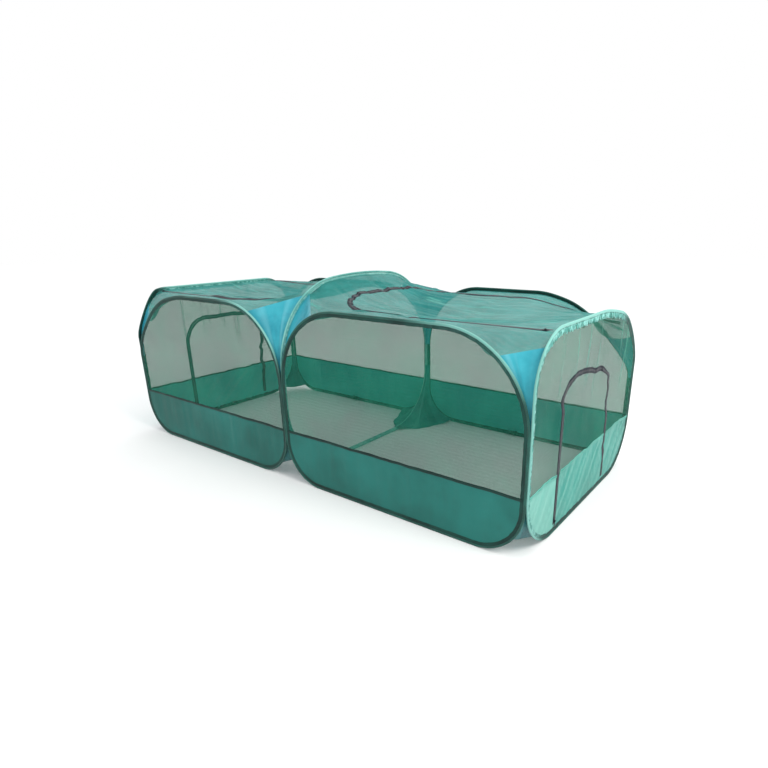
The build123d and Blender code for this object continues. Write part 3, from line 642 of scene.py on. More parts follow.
END_PAINTED_LIGHT = {"right_end": right_end_painted_light, "left_end": left_end_painted_light}
FRONT_PAINTED_LIGHT = {"front_right": front_right_painted_light, "front_left": front_left_painted_light}
for name, wall in walls.items():
    label, cloths = f"binding_{name}", [TAPE, PIPING]
    if name == "arch":
        piece = binding("arch_binding", wall, [TAPE_ARCH, PIPING_ARCH], 1.2, None, 2.0)
    elif name in ENDS:
        seed = 3.0 + ENDS[name][0]
        piece = binding(label, wall, cloths, 2.4, END_PAINTED_LIGHT[name], seed, sleeve=1.0)
    else:
        seed = 5.0 + LONG_WALLS[name][0] + 2 * LONG_WALLS[name][1]
        piece = binding(label, wall, cloths, 1.0, FRONT_PAINTED_LIGHT.get(name), seed, tape_painted_light=0.12)
    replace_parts(piece, f"hoop_binding_{name}")


# ---- spring wires ----
WIRE_R = 0.002
WIRE_SIDES = 10


def wire(name, wall, node):
    """The round spring wire inside the binding's piping."""
    points, normals, s, _ = wall.hoop.line(0.008)
    rows = []
    for k in range(WIRE_SIDES):
        a = 2 * math.pi * k / WIRE_SIDES
        flat = points + normals * (BEAD_R + WIRE_R * math.cos(a))
        rows.append(wall.place(flat[:, 0], flat[:, 1], np.full(len(flat), WIRE_R * math.sin(a))))
    verts, faces, _ = sweep(rows, s, range(WIRE_SIDES), True)
    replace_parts(make(name, verts, faces, "pen", [WIRE], slot="spring_steel"), node)


for name, wall in walls.items():
    one_of = "end_hoop_wires" if name in ENDS else "long_hoop_wires"
    wire(f"wire_{name}", wall, "arch_hoop_wire" if name == "arch" else one_of)


# ---- flat regions of cloth ----
def between(line, step):
    """Points along a polyline no more than `step` apart."""
    made = []
    for a, b in zip(line[:-1], line[1:]):
        a, b = np.asarray(a, float), np.asarray(b, float)
        count = max(1, int(math.ceil(np.linalg.norm(b - a) / step)))
        made += [a + (b - a) * k / count for k in range(count)]
    return np.array(made + [np.asarray(line[-1], float)])


def region(lines, keep, low, high, step):
    """Triangles that fill the part of the plane where keep(u, v), cut along the given lines."""
    points, edges = [], []
    for line in lines:
        start = len(points)
        points += [tuple(p) for p in line]
        edges += [(start + k, start + k + 1) for k in range(len(line) - 1)]
    fixed = np.array(points)
    us = np.arange(low[0], high[0], step)
    vs = np.arange(low[1], high[1], step * 0.866)
    grid = np.array([(u + (step / 2 if k % 2 else 0), v) for k, v in enumerate(vs) for u in us])
    grid = grid[keep(grid[:, 0], grid[:, 1])]
    far = np.ones(len(grid), bool)
    for k in range(0, len(fixed), 200):
        part = fixed[k : k + 200]
        gap = np.linalg.norm(grid[:, None, :] - part[None, :, :], axis=2).min(1)
        far &= gap > step * 0.6
    grid = grid[far]
    everything = [Vector(p) for p in points] + [Vector(p) for p in grid]
    out = geometry.delaunay_2d_cdt(everything, edges, [], 0, 1e-7)
    flat = np.array([tuple(p) for p in out[0]])
    triangles = np.array([f for f in out[2] if len(f) == 3])
    middle = flat[triangles].mean(1)
    triangles = triangles[keep(middle[:, 0], middle[:, 1])]
    a, b, c = (flat[triangles[:, k]] for k in range(3))
    size = np.abs((b - a)[:, 0] * (c - a)[:, 1] - (b - a)[:, 1] * (c - a)[:, 0]) / 2
    triangles = triangles[size > 1e-9]
    used = np.unique(triangles)
    renumber = np.zeros(len(flat), int)
    renumber[used] = np.arange(len(used))
    return flat[used], renumber[triangles], float(size.sum())


def hoop_loop(hoop, inset):
    points, normals, _, _ = hoop.line(HOOP_STEP)
    loop = points + normals * inset
    return np.vstack([loop, loop[:1]])


def door_line(grow, bottom, shift):
    """Open line round the door's sides and top, from the low front corner to the low rear one."""
    half = DOOR_WIDTH / 2 + grow
    top = DOOR_TOP + grow
    radius = DOOR_CORNER_R + grow
    line = [(-half, bottom), (-half, top - radius)]
    line += arc(radius - half, top - radius, radius, math.pi, math.pi / 2, 20)
    line.append((half - radius, top))
    line += arc(half - radius, top - radius, radius, math.pi / 2, 0, 20)
    line.append((half, bottom))
    line = np.array(line) + (shift, 0)
    keep = np.r_[True, np.linalg.norm(np.diff(line, axis=0), axis=1) > 1e-6]
    return line[keep]


def in_door(u, v, grow, bottom, shift):
    half = DOOR_WIDTH / 2 + grow
    top = DOOR_TOP + grow
    radius = DOOR_CORNER_R + grow
    x = np.abs(u - shift)
    inside = (x < half) & (v > bottom) & (v < top)
    corner = (x > half - radius) & (v > top - radius)
    return inside & (~corner | (np.hypot(x - half + radius, v - top + radius) < radius))


# ---- how each wall's cloth lies ----
def slider_run(u, v, shift):
    """1 along the side of the door where the slider travels, 0 elsewhere."""
    near = 1 - smooth((np.abs(u - shift + DOOR_WIDTH / 2) - 0.014) / 0.03)
    return near * (1 - smooth((v - 0.43) / 0.05))


def wall_lift(name, u, v):
    """How far the cloth stands out of the wall's plane."""
    wall = walls[name]
    free = smooth((wall.from_edge(u, v) - 0.022) / 0.10)
    if name in ENDS:
        side, shift = ENDS[name]
        seed = 2.0 + side
        rise = smooth((v - 0.25) / 0.4)
        gathers = ripple(u * 9 + 0.25 * ripple(v * 2, seed), seed) * 0.0035 * (0.3 + 0.7 * rise)
        gathers += ripple(u * 21, seed + 2, 2) * 0.0012 * rise
        slack = -0.010 * smooth((v - 0.05) / 0.3) * smooth((0.70 - v) / 0.3)
        low = 1 - smooth((v - 0.19) / 0.05)
        slant = ripple((u * 0.9 - v * 0.75) * 13, seed + 4) * 0.0022 * low
        held = slider_run(u, v, shift) + (1 - smooth((np.abs(v - DOOR_SILL) - 0.006) / 0.03))
        return free * (gathers + slack + slant) * (1 - np.clip(held, 0, 1))
    sx, sy = LONG_WALLS[name]
    seed = 6.0 + sx + 2 * sy
    low = 1 - smooth((v - 0.20) / 0.04)
    skirt = ripple(u * 5.5 + 0.2 * v, seed) * 0.0022 + ripple(u * 13 + v, seed + 1, 2) * 0.0007
    net = ripple(u * 3.1 + v * 0.6, seed + 2) * 0.003 + ripple(v * 4.2 + u, seed + 3, 2) * 0.0016
    slack = -0.006 * smooth(v / 0.35) * smooth((0.73 - v) / 0.3)
    return free * (low * skirt + (1 - low) * net + slack)


def wall_crease_highlight(name, u, v):
    """0 to 1 where the cloth is gathered or creased: paler there as a painted highlight, and denser
    netting.
    """
    if name in ENDS:
        side = ENDS[name][0]
        gather = smooth((v - 0.30) / 0.35)
        # Painted highlights: the slanting wrinkles low on both ends' skirts, and on the right end a
        # pale band in front of the door.
        slant = ripple((u * 0.85 - v * 0.9) * 19, 4.0 + side, 3)
        low = 1 - smooth((v - 0.20) / 0.02)
        streak = np.maximum(0, slant - 0.1) * low
        past_door = u - ENDS[name][1] + DOOR_WIDTH / 2 + 0.01
        front = 0.75 * (1 - smooth(past_door / 0.02)) * low * (side > 0)
        return np.clip(gather * 0.8 + streak * 0.9 + front, 0, 1)
    return 0.12 * smooth((v - 0.30) / 0.30)


def warp(name, u, v):
    """How the sewn cloth wanders in its own plane: the door's zip puckers and leans."""
    if name not in ENDS:
        return u, v
    side, shift = ENDS[name]
    free = smooth((walls[name].from_edge(u, v) - 0.03) / 0.12)
    held = np.clip(slider_run(u, v, shift), 0, 1)
    loose = free * (1 - held) * smooth((v - 0.10) / 0.12)
    across = np.clip((u - shift) / (DOOR_WIDTH / 2), -1.4, 1.4)
    far_side = smooth((across - 0.3) / 0.5)
    du = ripple(v * 5.2, 2.0 + side) * (0.0050 + 0.010 * far_side) + 0.004 * across
    lean = 0.040 * smooth((across + 0.7) / 1.6) * smooth((v - 0.3) / 0.25) * (side > 0)
    dv = ripple(u * 4.7, 5.0 + side) * 0.0045 - lean
    return u + du * loose, v + dv * loose


def wall_point(name, flat, lift=0.0):
    u, v = flat[:, 0], flat[:, 1]
    return walls[name].place(*warp(name, u, v), wall_lift(name, u, v) + lift)


CLOTH_INSET = 0.0125
CUT_STEP = 0.010  # between points on the cut lines
LONG_STEP, FINE_STEP = 0.013, 0.011  # between points inside the long walls' cloth, and elsewhere


def level(hoop, v):
    return between([(-hoop.width / 2, v), (hoop.width / 2, v)], CUT_STEP)


def wall_piece(name, obj_name, body, material, slot, lines, keep, step):
    hoop = walls[name].hoop
    low, high = (-hoop.width / 2, 0.0), (hoop.width / 2, hoop.height)
    flat, triangles, area = region(lines, keep, low, high, step)
    crease_highlight = {"crease_highlight": wall_crease_highlight(name, flat[:, 0], flat[:, 1])}
    verts = wall_point(name, flat)
    obj = make(obj_name, verts, triangles, body, [material], flat, None, crease_highlight, slot)
    return obj


def skirt_and_net(name, prefix, body, cloth, stands_for, lines, keep, step):
    """The closed cloth below the hem and the netting above it, cut from one outline."""
    skirt_node, net_node = stands_for

    def lower(u, v):
        return keep(u, v) & (v < KICK_HEIGHT)

    def upper(u, v):
        return keep(u, v) & (v > KICK_HEIGHT)

    piece = wall_piece(name, f"{prefix}skirt_{name}", body, cloth, "kick_cloth", lines, lower, step)
    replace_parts(piece, f"{skirt_node}_{name}")
    piece = wall_piece(name, f"{prefix}netting_{name}", body, NET, "mesh_cloth", lines, upper, step)
    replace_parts(piece, f"{net_node}_{name}")


WALL_NODES = ("kick_panel", "window_mesh")
DOOR_NODES = ("door_flap_kick", "door_flap_mesh")
ZIP_LAP = ZIP_NEAR + 0.004  # the zip's line to the cloth's edge
for name, (sx, sy) in LONG_WALLS.items():
    lines = [hoop_loop(LONG_HOOP, CLOTH_INSET), level(LONG_HOOP, KICK_HEIGHT)]

    def in_wall(u, v):
        return LONG_HOOP.inside(u, v, CLOTH_INSET)

    # The rear skirts take the painted sunlit copy.
    cloth = SKIRT_PAINTED_SUNLIT if sy > 0 else SKIRT
    skirt_and_net(name, "", "pen", cloth, WALL_NODES, lines, in_wall, LONG_STEP)

for name, (side, shift) in ENDS.items():
    # The right end's skirt is the shinier painted lit copy, the left end's the painted lit-through
    # one.
    cloth = SKIRT_SHINY_PAINTED_LIT if side > 0 else SKIRT_PAINTED_LIT_THROUGH
    hem_level = level(END_HOOP, KICK_HEIGHT)

    def round_door(u, v):
        return END_HOOP.inside(u, v, CLOTH_INSET) & ~in_door(u, v, ZIP_LAP, DOOR_SILL, shift)

    def door(u, v):
        return in_door(u, v, -ZIP_LAP, DOOR_SILL, shift)

    hole = door_line(ZIP_LAP, DOOR_SILL, shift)
    sill = between([hole[0], hole[-1]], CUT_STEP)
    lines = [hoop_loop(END_HOOP, CLOTH_INSET), hem_level, between(hole, CUT_STEP), sill]
    skirt_and_net(name, "", "pen", cloth, WALL_NODES, lines, round_door, FINE_STEP)

    flap = door_line(-ZIP_LAP, DOOR_SILL, shift)
    lines = [between(flap, CUT_STEP), between([flap[0], flap[-1]], CUT_STEP), hem_level]
    body = name.replace("_end", "_door")
    skirt_and_net(name, "door_", body, cloth, DOOR_NODES, lines, door, FINE_STEP)


# ---- zips ----
def along_line(line, step):
    """Evenly spaced points on a polyline, their side normals and the way along."""
    line = np.asarray(line, float)
    gaps = np.linalg.norm(np.diff(line, axis=0), axis=1)
    way = np.r_[0, np.cumsum(gaps)]
    s = np.linspace(0, way[-1], max(2, int(way[-1] / step)))
    points = np.stack([np.interp(s, way, line[:, k]) for k in range(2)], 1)
    tangent = np.gradient(points, axis=0)
    for _ in range(2):
        tangent = (np.roll(tangent, 1, 0) + tangent + np.roll(tangent, -1, 0)) / 3
        tangent[0], tangent[-1] = points[1] - points[0], points[-1] - points[-2]
    tangent /= np.linalg.norm(tangent, axis=1)[:, None]
    return points, np.stack([-tangent[:, 1], tangent[:, 0]], 1), s


TOOTH = 0.0024


def zip_strip(name, line, side, put, body):
    """Half a zip on one side of a line: woven tape and a row of moulded teeth."""
    profile = [(0.0008, -0.0004), (0.0012, 0.0005), (0.0045, 0.00055), (0.0080, 0.0005)]
    profile += [(0.0110, 0.00042), (0.0111, -0.0004), (0.0060, -0.0005)]
    points, normals, s = along_line(line, 0.005)
    rows = [put(points + normals * side * out, lift) for out, lift in profile]
    band, faces, band_uv = sweep(rows, s, [out for out, _ in profile], False)

    points, normals, s = along_line(line, TOOTH / 2)
    own = np.where((np.arange(len(s)) % 2 < 1) == (side > 0), 1.0, 0.0)
    near = -0.0005 * own + 0.0010 * (1 - own)
    ring = [(1.0, -0.0011), (1.0, 0.0011), (0.45, 0.00135)]
    ring += [(0.0, 0.0008), (0.0, -0.0008), (0.45, -0.00135)]
    rows = []
    for share, lift in ring:
        out = near + (0.0032 - near) * share
        rows.append(put(points + normals * side * out[:, None], lift * (0.65 + 0.35 * own)))
    teeth, more, teeth_uv = sweep(rows, s, [share * 0.003 for share, _ in ring], False)

    mats = [0] * len(faces) + [1] * len(more)
    faces += [tuple(i + len(band) for i in f) for f in more]
    uv = np.vstack([band_uv, teeth_uv])
    verts = np.vstack([band, teeth])
    return make(name, verts, faces, body, [ZIP_TAPE, ZIP_TEETH], uv, mats, slot="zip_tape")


def whole_zip(outer, inner, tails, body, closed, opening, tail_way, put):
    """Both halves of a zip as (piece, node), and the tails past its flap, which stay on the pen."""
    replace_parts(zip_strip(outer[0], closed, 1, put, "pen"), outer[1])
    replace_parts(zip_strip(inner[0], opening, -1, put, body), inner[1])
    first = np.array([closed[0], closed[0] + tail_way])
    last = np.array([closed[-1] + tail_way, closed[-1]])
    for k, tail in enumerate((first, last)):
        zip_strip(f"{tails}_{k}", tail, -1, put, "pen")


FLAP_GAP = 0.0004
for name, (side, shift) in ENDS.items():

    def put(flat, lift):
        return wall_point(name, flat, lift)

    outer = (f"zip_wall_side_{name}", f"door_zip_{name}")
    inner = (f"zip_door_side_{name}", f"door_flap_zip_{name}")
    closed = door_line(0.0, DOOR_SILL - ZIP_TAIL, shift)
    opening = door_line(0.0, DOOR_SILL + FLAP_GAP, shift)
    body = name.replace("_end", "_door")
    tail_way = (0, ZIP_TAIL - FLAP_GAP)
    whole_zip(outer, inner, f"zip_tail_{name}", body, closed, opening, tail_way, put)


# ---- roof ----
def roof_base(x, y):
    """Height of the right cell's roof in the CAD model."""
    along = x / CELL_LENGTH
    out = y / HALF_WIDTH
    rise = (ARCH_HEIGHT - WALL_HEIGHT) * (1 - 0.35 * out**2 - 2.6 * out**4) * (1 - along) ** 6
    sag = 0.050 * 4 * along * (1 - along) * np.maximum(1 - out**2, 0) ** 4
    return ROOF_LEVEL + rise - sag - 0.360 * (along * np.abs(out)) ** 14


ROOF_EDGE = HALF_WIDTH - 0.002
HINGE_STEP = 0.012


def seam_points(hoop, start_v, reach, count, upper=True):
    """Points in the middle of a binding, up (or down) its side and round the corner."""
    radius = hoop.shoulder_r if upper else hoop.foot_r
    centre_v = hoop.shoulder_v if upper else hoop.foot_r
    rising = 1 if upper else -1
    arc_r = radius - BINDING_MIDDLE
    turn = math.acos(1 - reach / radius)
    straight = abs(centre_v - start_v)
    way = (straight + arc_r * turn) * np.linspace(0, 1, count)
    angle = np.maximum(0, way - straight) / arc_r
    u = hoop.width / 2 - radius + arc_r * np.cos(angle)
    v = start_v + rising * (np.minimum(way, straight) + arc_r * np.sin(angle))
    return u, v - FLOOR_FLAT


# How far the upper gussets' seams reach round the shoulders: along the arch and the long wall
# beside it, along the end hoop and the long wall beside that.
TOP_START = LONG_HOOP.shoulder_v
ARCH_REACH, BY_ARCH_REACH = 0.175, 0.190
END_REACH, BY_END_REACH = 0.072, 0.120


def hem_ends():
    """Ends (x, y, z) of the middle and the corner gusset's upper hem, in the rear right quarter."""
    au, av = seam_points(ARCH_HOOP, TOP_START, ARCH_REACH, 2)
    lu, lv = seam_points(LONG_HOOP, TOP_START, BY_ARCH_REACH, 2)
    eu, ev = seam_points(END_HOOP, TOP_START, END_REACH, 2)
    ku, kv = seam_points(LONG_HOOP, TOP_START, BY_END_REACH, 2)
    y = HALF_WIDTH - SEAT
    middle = ((SEAT, au[-1], av[-1]), (LONG_CENTRE - lu[-1], y, lv[-1]))
    corner = ((CELL_LENGTH - SEAT, eu[-1], ev[-1]), (LONG_CENTRE + ku[-1], y, kv[-1]))
    return middle, corner


MIDDLE_HEM, CORNER_HEM = hem_ends()


def to_hem(x, y, z, hem):
    """Pulls the roof's height onto a gusset's hem near it."""
    a, b = np.array(hem[0]), np.array(hem[1])
    side = (b - a)[:2]
    t = np.clip(((x - a[0]) * side[0] + (np.abs(y) - a[1]) * side[1]) / (side @ side), 0, 1)
    gap = np.hypot(x - a[0] - t * side[0], np.abs(y) - a[1] - t * side[1])
    return z + (a[2] + (b[2] - a[2]) * t - z) * (1 - smooth(gap / 0.07))


def roof_z(x, y, seed):
    """The roof's height: the CAD's where a slider runs, folds in its field, the hoops at its rim."""
    flat = roof_base(x, y)
    near_wall = 1 - smooth((HALF_WIDTH - np.abs(y)) / 0.10)
    near_end = 1 - smooth((CELL_LENGTH - x) / 0.09)
    near_arch = (1 - smooth(x / 0.06)) * (1 - near_wall)
    z = lerp(flat, LONG_HOOP.top(x - LONG_CENTRE, BINDING_MIDDLE) - FLOOR_FLAT, near_wall)
    z = lerp(z, END_HOOP.top(y, BINDING_MIDDLE) - FLOOR_FLAT, near_end * (1 - near_wall))
    z = lerp(z, ARCH_HOOP.top(y, BINDING_MIDDLE) - FLOOR_FLAT, near_arch)
    z = to_hem(x, y, to_hem(x, y, z, MIDDLE_HEM), CORNER_HEM)
    free = smooth((HALF_WIDTH - np.abs(y)) / 0.10) * smooth(x / 0.08)
    free = free * smooth((CELL_LENGTH - x) / 0.10)
    from_zip = np.abs(y + HATCH_HALF_WIDTH)
    slider_run = (1 - smooth((from_zip - 0.012) / 0.03)) * smooth((x - 0.60) / 0.06)
    line = y * 8.5 + 0.35 * ripple(x * 1.3, seed) + 0.4 * x
    folds = ripple(line, seed + 1) * 0.0050 + ripple(y * 23 + 0.5 * x, seed + 2, 2) * 0.0016
    broad = ripple(x * 1.4 + y, seed + 3, 2) * 0.004
    z = z + (folds + broad) * free
    return lerp(z, flat, slider_run * smooth((CELL_LENGTH - 0.008 - x) / 0.02))


def roof_crease_highlight(x, y, seed):
    # Patchy mask for the roof netting's painted highlight along its folds, and its denser gathers.
    patchy = 0.55 + 0.45 * ripple(x * 1.5 + y * 2.1, seed, 2)
    return np.clip(patchy * smooth(x / 0.1) * smooth((CELL_LENGTH - x) / 0.05), 0, 1)


def hatch_line(grow, end):
    """Open line round the hatch's sides and far edge, from one end of its hinge to the other."""
    half = HATCH_HALF_WIDTH + grow
    start = HATCH_START - grow
    radius = HATCH_CORNER_R + grow
    line = [(end, -half), (start + radius, -half)]
    line += arc(start + radius, radius - half, radius, -math.pi / 2, -math.pi, 26)
    line.append((start, half - radius))
    line += arc(start + radius, half - radius, radius, math.pi, math.pi / 2, 26)
    line.append((end, half))
    return between(line, CUT_STEP)


def in_hatch(x, y, grow, end):
    half = HATCH_HALF_WIDTH + grow
    start = HATCH_START - grow
    radius = HATCH_CORNER_R + grow
    out = np.abs(y)
    inside = (x > start) & (x < end) & (out < half)
    corner = (x < start + radius) & (out > half - radius)
    return inside & (~corner | (np.hypot(x - start - radius, out - half + radius) < radius))


def roof_outline():
    start, end = 0.0008, CELL_LENGTH - 0.0008
    half = [(start, MIDDLE_HEM[0][1]), (MIDDLE_HEM[1][0], ROOF_EDGE)]
    half += [(CORNER_HEM[1][0], ROOF_EDGE), (end, CORNER_HEM[0][1])]
    loop = half + [(x, -y) for x, y in reversed(half)]
    return loop + loop[:1]


def in_outline(x, y):
    """Inside the roof's plan, which is a rectangle less its four corners."""
    out = np.abs(y)
    (ax, ay), (bx, by) = MIDDLE_HEM[0][:2], MIDDLE_HEM[1][:2]
    (cx, cy), (dx, dy) = CORNER_HEM[0][:2], CORNER_HEM[1][:2]
    middle = (out - ay) * (bx - ax) - (by - ay) * (x - ax) < 0
    corner = (out - cy) * (dx - cx) - (dy - cy) * (x - cx) > 0
    return (out < ROOF_EDGE) & (x > 0) & (x < CELL_LENGTH) & middle & corner


def roof_place(side, flat, lift, seed):
    x, y = flat[:, 0], flat[:, 1]
    return np.stack([side * x, y, roof_z(x, y, seed) + lift], 1)


def roof_sheet(name, node, body, lines, keep, side, seed):
    low, high = (0, -HALF_WIDTH), (CELL_LENGTH, HALF_WIDTH)
    flat, triangles, area = region(lines, keep, low, high, FINE_STEP)
    verts = roof_place(side, flat, 0.0, seed)
    crease_highlight = {"crease_highlight": roof_crease_highlight(flat[:, 0], flat[:, 1], seed)}
    piece = make(name, verts, triangles, body, [NET_ROOF_PAINTED_LIT], flat, None, crease_highlight, "mesh_cloth")
    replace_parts(piece, node)


for cell, side in (("left", -1), ("right", 1)):
    seed = 3.0 + side
    hatch_body = f"{cell}_hatch"

    def round_hatch(x, y):
        return in_outline(x, y) & ~in_hatch(x, y, ZIP_LAP, HATCH_HINGE_X)

    def hatch(x, y):
        return in_hatch(x, y, -ZIP_LAP, HATCH_HINGE_X)

    def put(flat, lift):
        return roof_place(side, flat, lift, seed)

    edge = between(roof_outline(), HINGE_STEP)
    hole = hatch_line(ZIP_LAP, HATCH_HINGE_X)
    lines = [edge, hole, between([hole[0], hole[-1]], HINGE_STEP)]
    name, node = f"roof_netting_{cell}", f"roof_mesh_{cell}"
    roof_sheet(name, node, "pen", lines, round_hatch, side, seed)
    edge = hatch_line(-ZIP_LAP, HATCH_HINGE_X)
    lines = [edge, between([edge[0], edge[-1]], HINGE_STEP)]
    name, node = f"hatch_netting_{cell}", f"roof_hatch_mesh_{cell}"
    roof_sheet(name, node, hatch_body, lines, hatch, side, seed)

    outer = (f"roof_zip_outer_{cell}", f"roof_zip_{cell}")
    inner = (f"roof_zip_inner_{cell}", f"roof_hatch_zip_{cell}")
    closed = hatch_line(0.0, HATCH_HINGE_X + ZIP_TAIL)
    opening = hatch_line(0.0, HATCH_HINGE_X - FLAP_GAP)
    tail_way = (FLAP_GAP - ZIP_TAIL, 0)
    whole_zip(outer, inner, f"roof_zip_tail_{cell}", hatch_body, closed, opening, tail_way, put)


# ---- gussets ----
SEAM_COUNT = 40
GUSSET_ACROSS = 25
GUSSET_FOLDS = 2.3
GUSSET_BELLY = 0.10


def gusset_sheet(name, seams, inward, look, seed, mirror, taut, held_by):
    """Cloth between two seams that start beside each other, with folds running along them."""
    seam_a, seam_b = seams
    material, slot = look
    count, across = len(seam_a), GUSSET_ACROSS
    t = np.linspace(0, 1, across)
    along = np.linspace(0, 1, count)
    grid = seam_a[:, None, :] * (1 - t)[None, :, None] + seam_b[:, None, :] * t[None, :, None]
    arch = 4 * t * (1 - t)
    reach = np.linalg.norm(seam_b - seam_a, axis=1)
    fold_line = t[None, :] * GUSSET_FOLDS + 0.15 * along[:, None]
    sink = GUSSET_BELLY * reach[:, None] * arch[None, :]
    wave = ripple(fold_line, seed, 2) * 0.028 * reach[:, None] * arch[None, :] ** 0.5
    held = 1 - smooth((along - 0.80) / 0.20) if taut else np.ones(count)
    depth = (sink + wave * smooth(along * 3)[:, None]) * held[:, None]
    grid = grid + depth[:, :, None] * np.array(inward)
    grid[:, :, 2] -= (0.05 * reach * smooth(along) * held)[:, None] * arch[None, :]
    # The fold ridges, which the gusset's material paints paler as a highlight.
    crease_highlight = np.maximum(0, ripple(fold_line, seed + 0.6, 2) - 0.25) * arch[None, :]
    points = grid.reshape(-1, 3) * np.array([*mirror, 1])
    points[:, 2] = np.maximum(points[:, 2], 0.0004)
    uv = np.stack([np.repeat(along * 0.4, across), (t[None, :] * reach[:, None]).ravel()], 1)
    faces = strip_faces(count, across)
    if mirror[0] * mirror[1] < 0:
        faces = [tuple(reversed(f)) for f in faces]
    obj = make(name, points, faces, "pen", [material], uv, None, {"crease_highlight": crease_highlight.ravel()}, slot)
    gaps = np.linalg.norm(np.diff(seam_a, axis=0), axis=1)
    return obj


def seam_line(hoop, start_v, reach, upper, kind):
    """One seam of a gusset, in the rear right quarter that the other quarters mirror."""
    u, v = seam_points(hoop, start_v, reach, SEAM_COUNT, upper)
    if kind in ("arch", "end"):
        x = SEAT if kind == "arch" else CELL_LENGTH - SEAT
        return np.stack([np.full(SEAM_COUNT, x), u, v], 1)
    x = LONG_CENTRE - u if kind == "wall_to_arch" else LONG_CENTRE + u
    return np.stack([x, np.full(SEAM_COUNT, HALF_WIDTH - SEAT), v], 1)


# Each kind of gusset: the hoop beside the long wall's, where its seams start, how far each seam
# reaches round that hoop's corner and round the long wall's (front, rear), and whether it is upper.
GUSSETS = {
    "top_middle": (ARCH_HOOP, TOP_START, (ARCH_REACH,) * 2, (BY_ARCH_REACH,) * 2, True),
    "top_corner": (END_HOOP, TOP_START, (END_REACH,) * 2, (BY_END_REACH,) * 2, True),
    "foot_middle": (ARCH_HOOP, ARCH_HOOP.foot_r, (0.120, 0.285), (0.110, 0.170), False),
    "foot_corner": (END_HOOP, END_HOOP.foot_r, (0.130, 0.130), (0.095, 0.095), False),
}
for kind, (hoop, start_v, reach_a, reach_b, upper) in GUSSETS.items():
    middle = hoop is ARCH_HOOP
    inward = (0.6 if middle else -0.6, -0.6, 0.0)
    look = (TOP_GUSSET, "top_gusset_cloth") if upper else (FOOT_GUSSET, "foot_gusset_cloth")
    along_hoop, along_wall = ("arch", "wall_to_arch") if middle else ("end", "wall_to_end")
    for place, (sx, sy) in LONG_WALLS.items():
        rear = int(sy > 0)
        seams = (
            seam_line(hoop, start_v, reach_a[rear], upper, along_hoop),
            seam_line(LONG_HOOP, start_v, reach_b[rear], upper, along_wall),
        )
        name, held_by = f"gusset_{kind}_{place}", f"hoop_binding_{place}"
        seed = 1.0 + 2 * sx + sy + len(kind)
        piece = gusset_sheet(name, seams, inward, look, seed, (sx, sy), upper, held_by)
        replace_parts(piece, f"{kind}_gussets")


# ---- hems, peg loops, ties ----
HEM_PROFILE = [
    (-0.0055, 0.0006),
    (-0.0048, 0.0014),
    (0.0, 0.0016),
    (0.0048, 0.0014),
    (0.0055, 0.0006),
    (0.0, -0.0008),
]


def hem(name, wall_name, low_u, high_u, material, body="pen"):
    """The folded tape over the seam between skirt and netting."""
    u = np.linspace(low_u, high_u, max(2, int((high_u - low_u) / 0.008)))
    v = KICK_HEIGHT + ripple(u * 6, 4.0) * 0.0008
    rows = [wall_point(wall_name, np.stack([u, v + dv], 1), lift) for dv, lift in HEM_PROFILE]
    verts, faces, uv = sweep(rows, u, [dv + 0.006 for dv, _ in HEM_PROFILE], False)
    piece = make(name, verts, faces, body, [material], uv, slot="edge_tape")
    if body == "pen":
        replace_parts(piece, "kick_edge_tapes")


half_long = LONG_HOOP.width / 2 - CLOTH_INSET
half_end = END_HOOP.width / 2 - CLOTH_INSET
for name in LONG_WALLS:
    hem(f"hem_{name}", name, -half_long, half_long, EDGE)
for name, (side, shift) in ENDS.items():
    # The right end's hems take the painted sunlit tape.
    painted_light = EDGE_PAINTED_LIT if side > 0 else EDGE
    to_wall, to_door = DOOR_WIDTH / 2 + ZIP_FAR, DOOR_WIDTH / 2 - ZIP_FAR
    hem(f"hem_{name}_front", name, -half_end, shift - to_wall, painted_light)
    hem(f"hem_{name}_rear", name, shift + to_wall, half_end, painted_light)
    body = name.replace("_end", "_door")
    hem(f"hem_{name}_door", name, shift - to_door, shift + to_door, painted_light, body)


def band_loop(name, path, width_axis, width, thickness, slot):
    """Webbing bent round a closed path, with rounded edges."""
    path = np.asarray(path, float)
    tangent = np.roll(path, -1, 0) - np.roll(path, 1, 0)
    tangent /= np.linalg.norm(tangent, axis=1)[:, None]
    axis = np.asarray(width_axis, float)
    normal = np.cross(tangent, axis)
    h, t = width / 2, thickness / 2
    profile = [(-h, 0), (-h * 0.9, t), (0, t * 1.1), (h * 0.9, t), (h, 0)]
    profile += [(h * 0.9, -t), (0, -t * 1.1), (-h * 0.9, -t)]
    gaps = np.linalg.norm(np.roll(path, -1, 0) - path, axis=1)
    s = np.r_[0, np.cumsum(gaps)[:-1]]
    rows = [path + axis * a + normal * b for a, b in profile]
    verts, faces, uv = sweep(rows, s, [a for a, _ in profile], True)
    return make(name, verts, faces, "pen", [WEBBING], uv, slot=slot)


def rounded_box(width, depth, radius):
    """Closed path in the plane, its near side on y = 0 and standing out to y = depth."""
    count = 7
    across, away = width / 2 - radius, depth - radius
    centres = [(across, away), (-across, away), (-across, radius), (across, radius)]
    path = []
    for (cx, cy), start in zip(centres, (0, 90, 180, 270)):
        for k in range(count):
            a = math.radians(start + 90 * k / (count - 1))
            path.append((cx + radius * math.cos(a), cy + radius * math.sin(a)))
    return np.array(path)


